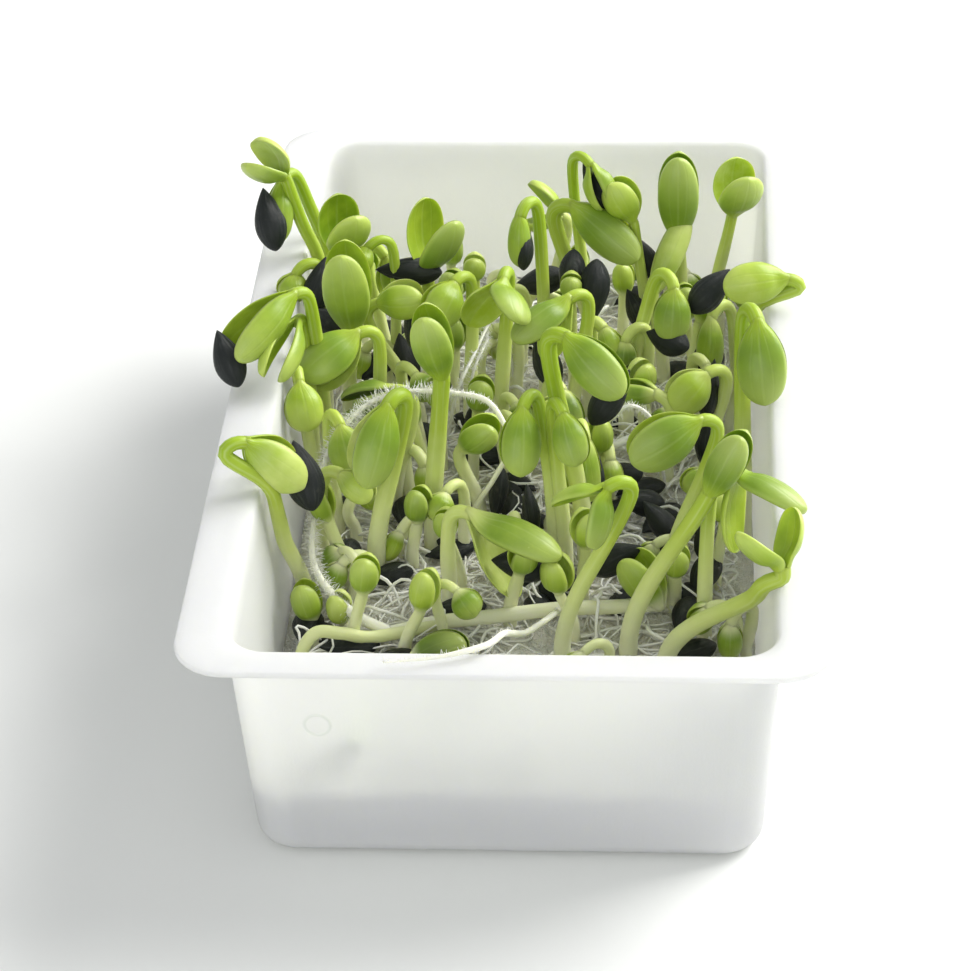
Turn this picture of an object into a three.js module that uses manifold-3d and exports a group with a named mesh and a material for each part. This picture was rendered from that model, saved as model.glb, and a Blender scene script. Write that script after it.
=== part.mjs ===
import * as THREE from "three";
import { mergeVertices } from "three/addons/utils/BufferGeometryUtils.js";
import Module from "manifold-3d";

// Millimetres, +Z up, -Y towards the viewer, origin at the middle of the tray's underside.

// Tray
const MOUTH_X = 50; // half of the opening between the inner edges of the flange
const MOUTH_Y = 98;
const TRAY_H = 50;
const FLANGE_X = 10; // how far the flange stands out at the sides and at the ends
const FLANGE_Y = 7;
const FLANGE_T = 1.3;
const WALL = 1.3;
const DRAFT = 3; // how far each wall leans out over the height
const MOUTH_R = 7;
const FLANGE_R = 10;
const FOOT_ROUND = 3.5;
const FOOT_MID = 0.3; // share of the foot's rounding at its middle section
const FLANGE_BEND = 0.8; // rounding between wall and flange
const CORNER_STEPS = 4;

// Root mat
const MAT_TOP = 16;
const MAT_SIDE_GAP = 0.8;
const MAT_FLOOR_GAP = 0.3;
const MAT_CORNER = 0.9; // how closely the mat follows the tub's round corners
const MAT_LIFT = 0.6; // share of the foot's rounding by which its ends rise
const MAT_DROP = 2; // how far its top falls at the side walls
const MAT_DROP_POWER = 8;
const MAT_SECTIONS = 16;
const MAT_STEPS = 9;

// Sprouts
const GAP = 0.3; // clear space between neighbouring pieces
const WELD = 0.004; // corners closer than this are made one
const ROOT_DEPTH = 7; // length of a stem that stands in the mat
const WALL_CLEAR = 1; // distance that stems keep from the tub
const FOOT_H = 2.5; // height to which a stem rises straight out of the mat
const STEM_SIDES = 5;
const HOLE_SIDES = 6;
const HOLE_PAST = 2; // how far above the stem's straight foot its hole is cut
const STEM_STEPS = 5;
const BEND_R = 3.2; // radius of the bend below a nodding head
const BEND_STEP = 0.7; // radians of a bend between two sections
const RISE_PULL = 0.33; // share of its height over which a stem keeps its first and last direction
const LEAN_OUT = 1.2; // how fast stems may spread above the flange
const STEM_TAPER = 0.2; // share of its radius that a stem loses towards the head
const STEM_BASE = 1.06; // its radius at the foot, as a share of the radius in the table
const LEAF_T = 1.6; // thickness along the midrib
const LEAF_EDGE_T = 0.8; // thickness at the edge
const LEAF_CUP = 1.1; // how far the midrib stands out from the edges
const LEAF_BELLY = 0.5; // where along its length a seed leaf is widest
const LEAF_RISE = 0.75; // powers of its outline before and beyond the belly
const LEAF_BLUNT = 2.4;
const LEAF_BOW = 9; // degrees by which the midline first leans out and then comes back in
const LEAF_TURN_U = 0.35; // share of the length over which the leaves part
const LEAF_INTO_STEM = 0.1; // share of the length that lies inside the stem
const LEAF_CROSS = 0.15; // how far each leaf of a pair starts beyond the plane between them
const LEAF_STATIONS = [-LEAF_INTO_STEM, 0.14, 0.36, 0.66, 0.92];
const SHUT = 15; // below this opening angle the two leaves lie together as one
const LEAF_MIN = 10;
const LEAF_MAX = 20;
const LEAF_SHORTEN = 0.6; // least cosine by which a wide-open head lengthens its leaves
const FUSE_MM3 = 0.6; // sprouts that cross by more than this are grown into one

// Hulls
const HULL_STATIONS = [0.07, 0.28, 0.55, 0.8, 0.95];
const HULL_SKEW = 1.35; // moves the widest place towards the broad end
const HULL_FULL = 0.62;
const HULL_SIDES = 6;

const COLOURS = {
  tray: "#e6e8e3",
  mat: "#efe9d8",
  sprout: "#9cb64a",
  hull: "#2b2926",
};

const wasm = await Module();
wasm.setup();

const V = (x, y, z) => new THREE.Vector3(x, y, z);
const UP = V(0, 0, 1);
const radians = (degrees) => (degrees * Math.PI) / 180;
const clamp = (value, low, high) => Math.max(low, Math.min(high, value));

// Volume of a closed triangle list, counted positive when the faces point outwards.
function signedVolume(points, triangles) {
  let sum = 0;
  for (let i = 0; i < triangles.length; i += 3) {
    const [a, b, c] = [triangles[i] * 3, triangles[i + 1] * 3, triangles[i + 2] * 3];
    sum += points[a] * (points[b + 1] * points[c + 2] - points[b + 2] * points[c + 1]);
    sum += points[a + 1] * (points[b + 2] * points[c] - points[b] * points[c + 2]);
    sum += points[a + 2] * (points[b] * points[c + 1] - points[b + 1] * points[c]);
  }
  return sum / 6;
}

// A closed solid skinned over rings of equal length, with a point or a flat fan at each end.
function loft(rings, start, end) {
  const count = rings[0].length;
  const vertices = rings.flat();
  const triangles = [];
  for (let r = 0; r + 1 < rings.length; r++) {
    for (let i = 0; i < count; i++) {
      const a = r * count + i;
      const b = r * count + ((i + 1) % count);
      triangles.push(a, b, b + count, a, b + count, a + count);
    }
  }
  const last = (rings.length - 1) * count;
  vertices.push(start, end);
  for (let i = 0; i < count; i++) {
    const next = (i + 1) % count;
    triangles.push(next, i, vertices.length - 2);
    triangles.push(last + i, last + next, vertices.length - 1);
  }
  const points = new Float32Array(vertices.length * 3);
  vertices.forEach((p, i) => p.toArray(points, i * 3));
  if (signedVolume(points, triangles) < 0) {
    for (let i = 0; i < triangles.length; i += 3) {
      [triangles[i + 1], triangles[i + 2]] = [triangles[i + 2], triangles[i + 1]];
    }
  }
  const mesh = { numProp: 3, vertProperties: points, triVerts: new Uint32Array(triangles) };
  return new wasm.Manifold(new wasm.Mesh(mesh));
}

// The middle of a ring.
function centreOf(ring) {
  return ring.reduce((sum, p) => sum.add(p), V(0, 0, 0)).divideScalar(ring.length);
}

// The bodies of a solid as separate triangle lists, largest first.
function bodiesOf(solid) {
  const mesh = solid.getMesh();
  const points = mesh.vertProperties;
  const step = mesh.numProp;
  const owner = Array.from({ length: points.length / step }, (_, i) => i);
  const find = (i) => {
    while (owner[i] !== i) {
      owner[i] = owner[owner[i]];
      i = owner[i];
    }
    return i;
  };
  const from = mesh.mergeFromVert ?? [];
  for (let i = 0; i < from.length; i++) owner[find(from[i])] = find(mesh.mergeToVert[i]);
  const corners = mesh.triVerts;
  for (let i = 0; i < corners.length; i += 3) {
    owner[find(corners[i + 1])] = find(corners[i]);
    owner[find(corners[i + 2])] = find(corners[i]);
  }
  const lists = new Map();
  for (let i = 0; i < corners.length; i += 3) {
    const key = find(corners[i]);
    if (!lists.has(key)) lists.set(key, []);
    lists.get(key).push(corners[i], corners[i + 1], corners[i + 2]);
  }
  const xyz = new Float32Array((points.length / step) * 3);
  for (let i = 0; i < xyz.length / 3; i++) {
    for (let k = 0; k < 3; k++) xyz[i * 3 + k] = points[i * step + k];
  }
  return [...lists.values()]
    .map((list) => ({ points: xyz, triangles: list, volume: signedVolume(xyz, list) }))
    .sort((a, b) => b.volume - a.volume);
}

function volumeOf(solid) {
  return bodiesOf(solid).reduce((sum, body) => sum + body.volume, 0);
}

// A three.js geometry of one body.
function geometryOf(body) {
  const flat = new Float32Array(body.triangles.length * 3);
  body.triangles.forEach((v, i) => {
    for (let k = 0; k < 3; k++) flat[i * 3 + k] = body.points[v * 3 + k];
  });
  const geometry = new THREE.BufferGeometry();
  geometry.setAttribute("position", new THREE.BufferAttribute(flat, 3));
  return geometry;
}

// The same body once its corners that nearly touch are made one; triangles that this flattens, and
// pairs that it lays back to back, are dropped.
function welded(body) {
  const merged = mergeVertices(geometryOf(body), WELD / 10);
  const points = merged.attributes.position.array;
  const corner = (i) => V(...points.slice(i * 3, i * 3 + 3));
  const owner = Array.from({ length: points.length / 3 }, (_, i) => i);
  const find = (i) => (owner[i] === i ? i : find(owner[i]));
  const corners = merged.index.array;
  for (let i = 0; i < corners.length; i++) {
    const next = i % 3 === 2 ? i - 2 : i + 1;
    const [a, b] = [find(corners[i]), find(corners[next])];
    if (corner(a).distanceTo(corner(b)) < WELD) owner[b] = a;
  }
  const kept = new Map();
  for (let i = 0; i < corners.length; i += 3) {
    const triangle = [0, 1, 2].map((k) => find(corners[i + k]));
    if (new Set(triangle).size < 3) continue;
    const key = [...triangle].sort().join();
    if (!kept.delete(key)) kept.set(key, triangle);
  }
  return { points, triangles: [...kept.values()].flat() };
}

// The largest body of a solid, made a solid again; loose scraps are dropped.
function largest(solid) {
  const bodies = bodiesOf(solid);
  if (bodies.length === 1) return solid;
  const merged = mergeVertices(geometryOf(bodies[0]), 1e-4);
  const mesh = {
    numProp: 3,
    vertProperties: merged.attributes.position.array,
    triVerts: new Uint32Array(merged.index.array),
  };
  return new wasm.Manifold(new wasm.Mesh(mesh));
}

function boxOf(solid) {
  const mesh = solid.getMesh();
  const box = new THREE.Box3();
  for (let i = 0; i < mesh.vertProperties.length; i += mesh.numProp) {
    box.expandByPoint(V(...mesh.vertProperties.slice(i, i + 3)));
  }
  return box;
}

// Directions across a path, carried along it without twisting.
function carriedFrames(path) {
  const tangents = path.map((p, i) => {
    const before = path[Math.max(i - 1, 0)];
    const after = path[Math.min(i + 1, path.length - 1)];
    return after.clone().sub(before).normalize();
  });
  const first = Math.abs(tangents[0].z) > 0.9 ? V(1, 0, 0) : UP.clone();
  let side = first.addScaledVector(tangents[0], -first.dot(tangents[0])).normalize();
  return tangents.map((t) => {
    side = side.clone().addScaledVector(t, -side.dot(t)).normalize();
    return { side, across: t.clone().cross(side) };
  });
}

// A round stem or root along a path, with a radius for each of its points.
function tube(path, radii, sides = STEM_SIDES) {
  const rings = carriedFrames(path).map(({ side, across }, i) => {
    const ring = [];
    for (let k = 0; k < sides; k++) {
      const a = (2 * Math.PI * k) / sides;
      const p = path[i].clone().addScaledVector(side, radii[i] * Math.cos(a));
      ring.push(p.addScaledVector(across, radii[i] * Math.sin(a)));
    }
    return ring;
  });
  return loft(rings, path[0], path[path.length - 1]);
}

// A smooth line through the given points, with a number of steps between neighbours.
function through(points, steps) {
  const at = (i) => points[clamp(i, 0, points.length - 1)];
  const line = [];
  for (let i = 0; i + 1 < points.length; i++) {
    for (let k = 0; k < steps; k++) {
      const t = k / steps;
      const p = at(i).clone().multiplyScalar(2);
      p.add(at(i + 1).clone().sub(at(i - 1)).multiplyScalar(t));
      const bend = at(i - 1).clone().multiplyScalar(2).addScaledVector(at(i), -5);
      bend.addScaledVector(at(i + 1), 4).sub(at(i + 2));
      p.addScaledVector(bend, t * t);
      const twist = at(i).clone().multiplyScalar(3).sub(at(i - 1));
      twist.addScaledVector(at(i + 1), -3).add(at(i + 2));
      line.push(p.addScaledVector(twist, t * t * t).multiplyScalar(0.5));
    }
  }
  line.push(points[points.length - 1].clone());
  return line;
}

// Rounded rectangle at one height, counted round from the right-hand end of the back edge.
function roundedRing(halfX, halfY, radius, z) {
  const ring = [];
  for (let corner = 0; corner < 4; corner++) {
    const cx = (corner === 0 || corner === 3 ? 1 : -1) * (halfX - radius);
    const cy = (corner < 2 ? 1 : -1) * (halfY - radius);
    for (let k = 0; k <= CORNER_STEPS; k++) {
      const a = radians(90 * (corner + k / CORNER_STEPS));
      ring.push(V(cx + radius * Math.cos(a), cy + radius * Math.sin(a), z));
    }
  }
  return ring;
}

// Half of the inner width or length of the tub at a height.
function innerHalf(mouth, z) {
  return mouth - DRAFT * (1 - z / TRAY_H);
}

function tray() {
  const rings = [];
  const outer = (z, inset) => {
    const grow = WALL - inset;
    const [x, y] = [innerHalf(MOUTH_X, z) + grow, innerHalf(MOUTH_Y, z) + grow];
    rings.push(roundedRing(x, y, MOUTH_R + grow, z));
  };
  const inner = (z, inset) => {
    const [x, y] = [innerHalf(MOUTH_X, z) - inset, innerHalf(MOUTH_Y, z) - inset];
    rings.push(roundedRing(x, y, MOUTH_R - inset, z));
  };
  outer(0, FOOT_ROUND);
  outer(FOOT_ROUND * FOOT_MID, FOOT_ROUND * FOOT_MID);
  outer(FOOT_ROUND, 0);
  outer(TRAY_H - FLANGE_T - FLANGE_BEND, 0);
  outer(TRAY_H - FLANGE_T, -FLANGE_BEND);
  const [farX, farY] = [MOUTH_X + FLANGE_X, MOUTH_Y + FLANGE_Y];
  rings.push(roundedRing(farX, farY, FLANGE_R, TRAY_H - FLANGE_T));
  rings.push(roundedRing(farX, farY, FLANGE_R, TRAY_H));
  inner(TRAY_H, -FLANGE_BEND);
  inner(TRAY_H - FLANGE_BEND, 0);
  inner(WALL + FOOT_ROUND, 0);
  inner(WALL + FOOT_ROUND * FOOT_MID, FOOT_ROUND * FOOT_MID);
  inner(WALL, FOOT_ROUND);
  return loft(rings, V(0, 0, 0), V(0, 0, WALL));
}

// Height of the mat's lumpy top.
function matHeight(x, y) {
  const broad = 0.9 * Math.sin(x / 9 + 1) * Math.cos(y / 13);
  return MAT_TOP + broad + 0.5 * Math.sin(x / 4.1) * Math.sin(y / 5.3 + 2);
}

// The mat follows the inside of the tub, a little clear of it.
function rootMat() {
  const floor = WALL + MAT_FLOOR_GAP;
  const shoulder = floor + FOOT_ROUND;
  const reach = innerHalf(MOUTH_Y, 0) - MAT_SIDE_GAP - WALL;
  const rings = [];
  for (let j = 0; j <= MAT_SECTIONS; j++) {
    const y = -reach + (2 * reach * j) / MAT_SECTIONS;
    const intoCorner = Math.max(0, Math.abs(y) - (reach - MOUTH_R)) / MOUTH_R;
    const pull = MOUTH_R * (1 - Math.sqrt(1 - intoCorner * intoCorner)) * MAT_CORNER;
    const low = innerHalf(MOUTH_X, 0) - MAT_SIDE_GAP - pull;
    const high = innerHalf(MOUTH_X, MAT_TOP) - MAT_SIDE_GAP - pull;
    const lift = intoCorner * FOOT_ROUND * MAT_LIFT;
    const ring = [V(-low + FOOT_ROUND, y, floor + lift), V(low - FOOT_ROUND, y, floor + lift)];
    ring.push(V(low, y, shoulder));
    for (let i = 0; i <= MAT_STEPS; i++) {
      const x = high * (1 - (2 * i) / MAT_STEPS);
      ring.push(V(x, y, matHeight(x, y) - MAT_DROP * (Math.abs(x) / high) ** MAT_DROP_POWER));
    }
    ring.push(V(-low, y, shoulder));
    rings.push(ring);
  }
  return loft(rings, centreOf(rings[0]), centreOf(rings[rings.length - 1]));
}

// The plain hole in which a stem stands.
function stemHole(sprout) {
  const radius = (sprout.radius + GAP) / Math.cos(Math.PI / HOLE_SIDES);
  const path = [-ROOT_DEPTH - GAP, FOOT_H + HOLE_PAST].map((h) => V(sprout.x, sprout.y, MAT_TOP + h));
  return tube(path, [radius, radius], HOLE_SIDES);
}

// Sprouts read from the photo. Each row: name, foot x y, top of the stem x y z, tip of the head
// x y z, leaf width, opening angle between the leaves, turn of the leaves about the head
// (0 shows their faces to the viewer, 90 their edges), stem radius.
const SPROUTS = [
  ["01", -43, 47, -54, 47, 69, -60, 44, 76.4, 10, 34, 40, 1.5],
  ["02", -41, 53, -54, 51, 67, -56, 43, 54.5, 6, 10, 20, 1.5],
  ["03", -42, 42, -42, 43, 52, -40, 42, 64.5, 10, 40, -30, 1.5],
  ["04", -40, 24, -38, 21, 46, -39, 22, 66, 10, 20, 0, 1.5],
  ["05", -33, 47, -35, 48, 51, -31, 45, 43, 7, 10, 40, 1.4],
  ["06", -23, 41, -23, 41, 49, -20, 41, 64, 10, 40, -40, 1.5],
  ["07", -25, 29, -33, 27, 49, -23, 28, 50, 8, 30, 10, 1.4],
  ["08", -14, 28, -15, 28, 55, -21, 21, 47, 9, 14, 10, 1.5],
  ["09", -19, -16, -16, -16, 58, -19, -16, 73, 8, 20, 0, 1.9],
  ["10", -33, 8, -34, 9, 53, -46, 3, 44, 10, 30, -40, 1.5],
  ["11", -43, 8, -47, 2, 66, -60, -8.5, 57.5, 8, 24, 10, 1.5],
  ["12", -45, 1, -47, 3, 59, -51, -13, 55, 7, 10, 60, 1.4],
  ["13", -44, -6, -47, -2, 50, -45, -9, 42, 8, 10, 20, 1.4],
  ["15", -43, -39, -54.5, -46.5, 61, -43, -40.5, 49, 9, 26, 20, 1.6],
  ["16", -30, -28, -24, -27, 60, -31, -34, 44, 9, 30, 10, 1.9],
  ["25", -10, -6, -13, -6, 34, -7, -7, 40, 7, 20, 0, 1.5],
  ["29", 11, 62, 10, 60, 67, 15, 56, 58, 6, 8, 90, 1.3],
  ["30", 13, 56, 6, 58, 56, 22, 54, 45, 9, 40, 20, 1.9],
  ["31", 25, 54, 21, 55, 54, 17, 57, 62, 8, 20, 10, 1.3],
  ["32", 2, 41, -1, 41, 66, -3, 37, 53, 5, 10, 0, 1.5],
  ["33", 32, 60, 31, 59, 48, 31, 59, 68, 9, 4, 0, 1.7],
  ["34", 38, 65, 43, 65, 50, 45, 64, 62, 10, 36, -20, 1.4],
  ["35", 43, 27, 55, 24, 57, 41, 24, 55, 9, 40, -30, 1.6],
  ["36", 45, -12, 46, -5, 67, 49, -14, 50, 10, 10, 0, 1.8],
  ["37", 28, 48, 26, 50, 39, 33, 61, 52, 6, 8, 10, 1.4],
  ["38", 20, 29, 29, 31, 54, 29.5, 26, 41, 8, 24, 0, 1.6],
  ["43", -7, 21, -5, 21, 60, -7, 13, 53, 10, 95, 35, 1.6],
  ["44", 8, 21, 10, 21, 55, 0, 15, 45, 8, 60, -50, 1.5],
  ["45", 13, -22, 8, -20, 70, 21, -27, 60, 9, 8, 10, 1.9],
  ["46", 16, 34, 14, 33, 41, 18, 28, 33, 7, 8, 0, 1.4],
  ["48", 37, 10, 39, 9, 44, 30, 5, 37, 9, 12, 0, 1.5],
  ["49", 44, 36, 40, 37, 43, 38, 32, 29, 6, 8, 0, 1.4],
  ["51", 7, -27, 2, -27, 60, 0, -34, 46, 8, 20, 10, 1.5],
  ["52", 9, -28, 8, -30, 60, 12, -37, 50, 7, 10, 0, 1.5],
  ["53", 30, -30, 37, -32, 58, 22, -36, 51, 10, 16, -10, 1.5],
  ["54", 22, -54, 38, -54, 56, 44, -54, 69, 7, 8, 20, 1.8],
  ["55", 37, -49, 41, -49, 59, 49, -57, 49, 9, 74, 80, 1.5],
  ["56", 29, -62, 51, -76, 54, 48, -73, 62, 9, 73, 55, 1.8],
  ["57", 9, -56, 21, -60, 62, 12, -62, 53, 8, 66, 50, 1.6],
  ["58", 13, -11, 12, -13, 44, 14, -19, 30, 5, 8, 0, 1.5],
  ["62", -14, -39, -10, -40, 41, 5, -46, 29, 9, 56, 70, 1.6],
  ["76", 2, 84, 4, 82, 40, -4, 80, 44, 9, 60, 60, 1.4],
];

// One sprout's sizes and its centre line: straight out of the mat, over, then a bend to the head.
function readSprout(row) {
  const [name, x, y, tx, ty, tz, hx, hy, hz, width, open, turn, radius] = row;
  const foot = V(x, y, MAT_TOP + FOOT_H);
  const [top, tip] = [V(tx, ty, tz), V(hx, hy, hz)];
  const arrive = top.clone().sub(foot).normalize();
  let ahead = tip.clone().sub(top).normalize();
  let start = top;
  let bend = [];
  for (let pass = 0; pass < 4; pass++) {
    const angle = arrive.angleTo(ahead);
    const side = ahead.clone().addScaledVector(arrive, -ahead.dot(arrive)).normalize();
    const offset = (a) => {
      const along = arrive.clone().multiplyScalar(BEND_R * Math.sin(a));
      return along.addScaledVector(side, BEND_R * (1 - Math.cos(a)));
    };
    start = top.clone().sub(offset(Math.min(angle, Math.PI / 2)));
    const steps = Math.max(1, Math.round(angle / BEND_STEP));
    bend = Array.from({ length: steps }, (_, k) =>
      start.clone().add(offset((angle * (k + 1)) / steps)),
    );
    ahead = tip.clone().sub(bend[steps - 1]).normalize();
  }
  const pull = foot.distanceTo(start) * RISE_PULL;
  const [c1, c2] = [foot.clone().addScaledVector(UP, pull), start.clone().addScaledVector(arrive, -pull)];
  const path = [V(x, y, MAT_TOP - ROOT_DEPTH)];
  const side = (value, mouth, z) => {
    const free = innerHalf(mouth, Math.min(z, TRAY_H)) - radius - WALL_CLEAR;
    const most = free + LEAN_OUT * Math.max(0, z - TRAY_H - radius);
    return clamp(value, -most, most);
  };
  for (let k = 0; k <= STEM_STEPS; k++) {
    const t = k / STEM_STEPS;
    const p = foot.clone().multiplyScalar((1 - t) ** 3);
    p.addScaledVector(c1, 3 * t * (1 - t) ** 2).addScaledVector(c2, 3 * t * t * (1 - t));
    p.addScaledVector(start, t ** 3);
    path.push(V(side(p.x, MOUTH_X, p.z), side(p.y, MOUTH_Y, p.z), p.z));
  }
  path.push(...bend);
  const neck = path[path.length - 1];
  const reach = neck.distanceTo(tip);
  const length = clamp(reach / Math.max(Math.cos(radians(open) / 2), LEAF_SHORTEN), LEAF_MIN, LEAF_MAX);
  return { name, x, y, path, neck, ahead, width, open, turn, radius, length };
}

// Width and opening directions of a head, turned about its own axis.
function headAxes(ahead, turn) {
  const toViewer = V(0, -1, 0);
  const wide = ahead.clone().cross(toViewer).normalize();
  const opening = wide.clone().cross(ahead).normalize();
  const a = radians(turn);
  return {
    wide: wide.clone().multiplyScalar(Math.cos(a)).addScaledVector(opening, Math.sin(a)),
    opening: opening.multiplyScalar(Math.cos(a)).addScaledVector(wide, -Math.sin(a)),
  };
}

// Half width of a seed leaf along its length: from the stem's radius it swells to the belly, then
// it closes in a blunt end.
function leafHalfWidth(u, width, stem) {
  if (u < LEAF_BELLY) {
    const rise = Math.sin((Math.PI / 2) * (Math.max(u, 0) / LEAF_BELLY)) ** LEAF_RISE;
    return stem + (width / 2 - stem) * rise;
  }
  return (width / 2) * Math.sqrt(1 - ((u - LEAF_BELLY) / (1 - LEAF_BELLY)) ** LEAF_BLUNT);
}

// Section of a seed leaf: points across and outwards. A shut pair is one blade, the same on both
// sides; a single leaf is cupped, with its inner face towards its partner.
function leafSection(half, cup, shut, grow) {
  const [edge, middle] = [LEAF_EDGE_T, LEAF_T + cup];
  if (shut) {
    return [
      [-half, -edge / 2 - grow], [0, -middle - grow], [half, -edge / 2 - grow],
      [half, edge / 2 + grow], [0, middle + grow], [-half, edge / 2 + grow],
    ];
  }
  return [
    [-half, -grow], [0, cup - grow], [half, -grow],
    [half, edge + grow], [0, middle + grow], [-half, edge + grow],
  ];
}

// One thick seed leaf that starts inside the stem and curves away from the head's axis. Hand is
// the side that it opens to, or 0 for a pair that is shut.
function seedLeaf(head, hand, grow) {
  const { neck, ahead, turn, open, length, width, stem } = head;
  const { wide, opening } = headAxes(ahead, turn);
  const direction = (u) => {
    const part = clamp(u / LEAF_TURN_U, 0, 1);
    const lean = radians(open / 2) * part * part * (3 - 2 * part);
    const a = hand * (lean + radians(LEAF_BOW) * Math.cos(Math.PI * u));
    return ahead.clone().multiplyScalar(Math.cos(a)).addScaledVector(opening, Math.sin(a));
  };
  let point = neck.clone().addScaledVector(ahead, -LEAF_INTO_STEM * length);
  point.addScaledVector(opening, -LEAF_CROSS * hand);
  let before = LEAF_STATIONS[0];
  const rings = LEAF_STATIONS.map((u) => {
    point = point.clone().addScaledVector(direction((u + before) / 2), (u - before) * length);
    before = u;
    const face = direction(u).cross(wide).multiplyScalar(hand === 0 ? -1 : -hand).normalize();
    const half = leafHalfWidth(u, width, stem) + grow;
    const cup = LEAF_CUP * clamp(half / (width / 2), 0, 1) * clamp(u / LEAF_TURN_U, 0, 1);
    const section = leafSection(half, cup, hand === 0, grow);
    return section.map(([w, f]) => point.clone().addScaledVector(wide, w).addScaledVector(face, f));
  });
  const end = point.clone().addScaledVector(direction(1), (1 - before) * length + grow);
  return loft(rings, centreOf(rings[0]), end);
}

// A closed sunflower hull about its middle, pointed at the start of its axis and broad at its end.
function seedHull(middle, axis, flat, [length, width, thick], grow) {
  const across = flat.clone().addScaledVector(axis, -flat.dot(axis)).normalize();
  const beside = axis.clone().cross(across);
  const start = middle.clone().addScaledVector(axis, -length / 2);
  const rings = HULL_STATIONS.map((u) => {
    const full = Math.sin(Math.PI * u ** HULL_SKEW) ** HULL_FULL;
    const ring = [];
    for (let k = 0; k < HULL_SIDES; k++) {
      const a = (2 * Math.PI * k) / HULL_SIDES;
      const p = start.clone().addScaledVector(axis, u * length);
      p.addScaledVector(beside, (full * width * 0.5 + grow) * Math.cos(a));
      ring.push(p.addScaledVector(across, (full * thick * 0.5 + grow) * Math.sin(a)));
    }
    return ring;
  });
  const near = start.clone().addScaledVector(axis, -grow);
  return loft(rings, near, start.clone().addScaledVector(axis, length + grow));
}

// Stem and both leaves as one solid; `grow` swells it for cutting a clear space into others.
function sproutSolid(s, grow) {
  const radii = s.path.map((_, i) => {
    return s.radius * (STEM_BASE - (STEM_TAPER * i) / (s.path.length - 1)) + grow;
  });
  const stem = tube(s.path, radii);
  const head = { ...s, stem: s.radius * (STEM_BASE - STEM_TAPER) };
  if (s.open < SHUT) return stem.add(seedLeaf(head, 0, grow));
  return stem.add(seedLeaf(head, -1, grow)).add(seedLeaf(head, 1, grow));
}

// The sprout that has fallen over: head at the right, stem along the mat, root looped high.
const FALLEN_STEM = [
  [-25, -52, 20], [-16, -49, 20.5], [-6, -47, 20.5], [8, -44, 20.5], [20, -43, 20.5], [28, -44, 22],
];
const SECOND_STEM = [
  [-41, -60, 12], [-42, -60, 20], [-39, -59, 25], [-34, -57, 23.5], [-28, -54, 20.5], [-16, -49.5, 20.5],
];
const FALLEN_ROOT = [
  [-25, -52, 20], [-34, -48, 23], [-41, -41, 29], [-41, -28, 36], [-39, -19, 42], [-33, -10, 46],
  [-25, -7, 48], [-16, -7, 48], [-8, -8, 47], [-4, -11, 43], [-3, -14, 39], [-6, -14, 32],
  [-10, -12, 24], [-13, -10, 17],
];
// Its side root, which climbs over the front wall and lies on the flange.
const RIM_ROOT = [
  [8, -44, 20.5], [7, -51, 24], [3, -66, 31], [1, -80, 41], [0, -91, 49], [-3, -98, 51.4],
  [-12, -101.5, 51.2], [-21, -103, 51.2],
];
const ROOT_R = 0.75;
const FALLEN_R = 1.5;
const SECOND_R = 1.3;
const ROOT_SWELL = 0.6; // how much thicker the root is where it leaves the stem
const SWELL_POINTS = 5;
const FALLEN_TIP = V(22, -40, 31);
const FALLEN_HEAD = { turn: 20, open: 24, length: 12, width: 8, stem: FALLEN_R };

const vectors = (list) => list.map((p) => V(...p));

function fallenSprout(grow) {
  const even = (path, radius) => tube(path, path.map(() => radius + grow));
  const stem = through(vectors(FALLEN_STEM), 2);
  const neck = stem[stem.length - 1];
  const head = { ...FALLEN_HEAD, neck, ahead: FALLEN_TIP.clone().sub(neck).normalize() };
  const root = through(vectors(FALLEN_ROOT), 2);
  const swell = root.map((_, i) => ROOT_SWELL * Math.max(0, 1 - i / SWELL_POINTS));
  return even(stem, FALLEN_R)
    .add(tube(root, swell.map((more) => ROOT_R + more + grow)))
    .add(even(through(vectors(SECOND_STEM), 2), SECOND_R))
    .add(even(through(vectors(RIM_ROOT), 2), ROOT_R))
    .add(seedLeaf(head, -1, grow))
    .add(seedLeaf(head, 1, grow));
}

// Directions that the flat side of a hull faces.
const AT_VIEWER = V(0, -0.83, 0.56);
const SIDEWAYS = V(1, 0.2, 0);
const FLAT_DOWN = UP;

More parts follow.
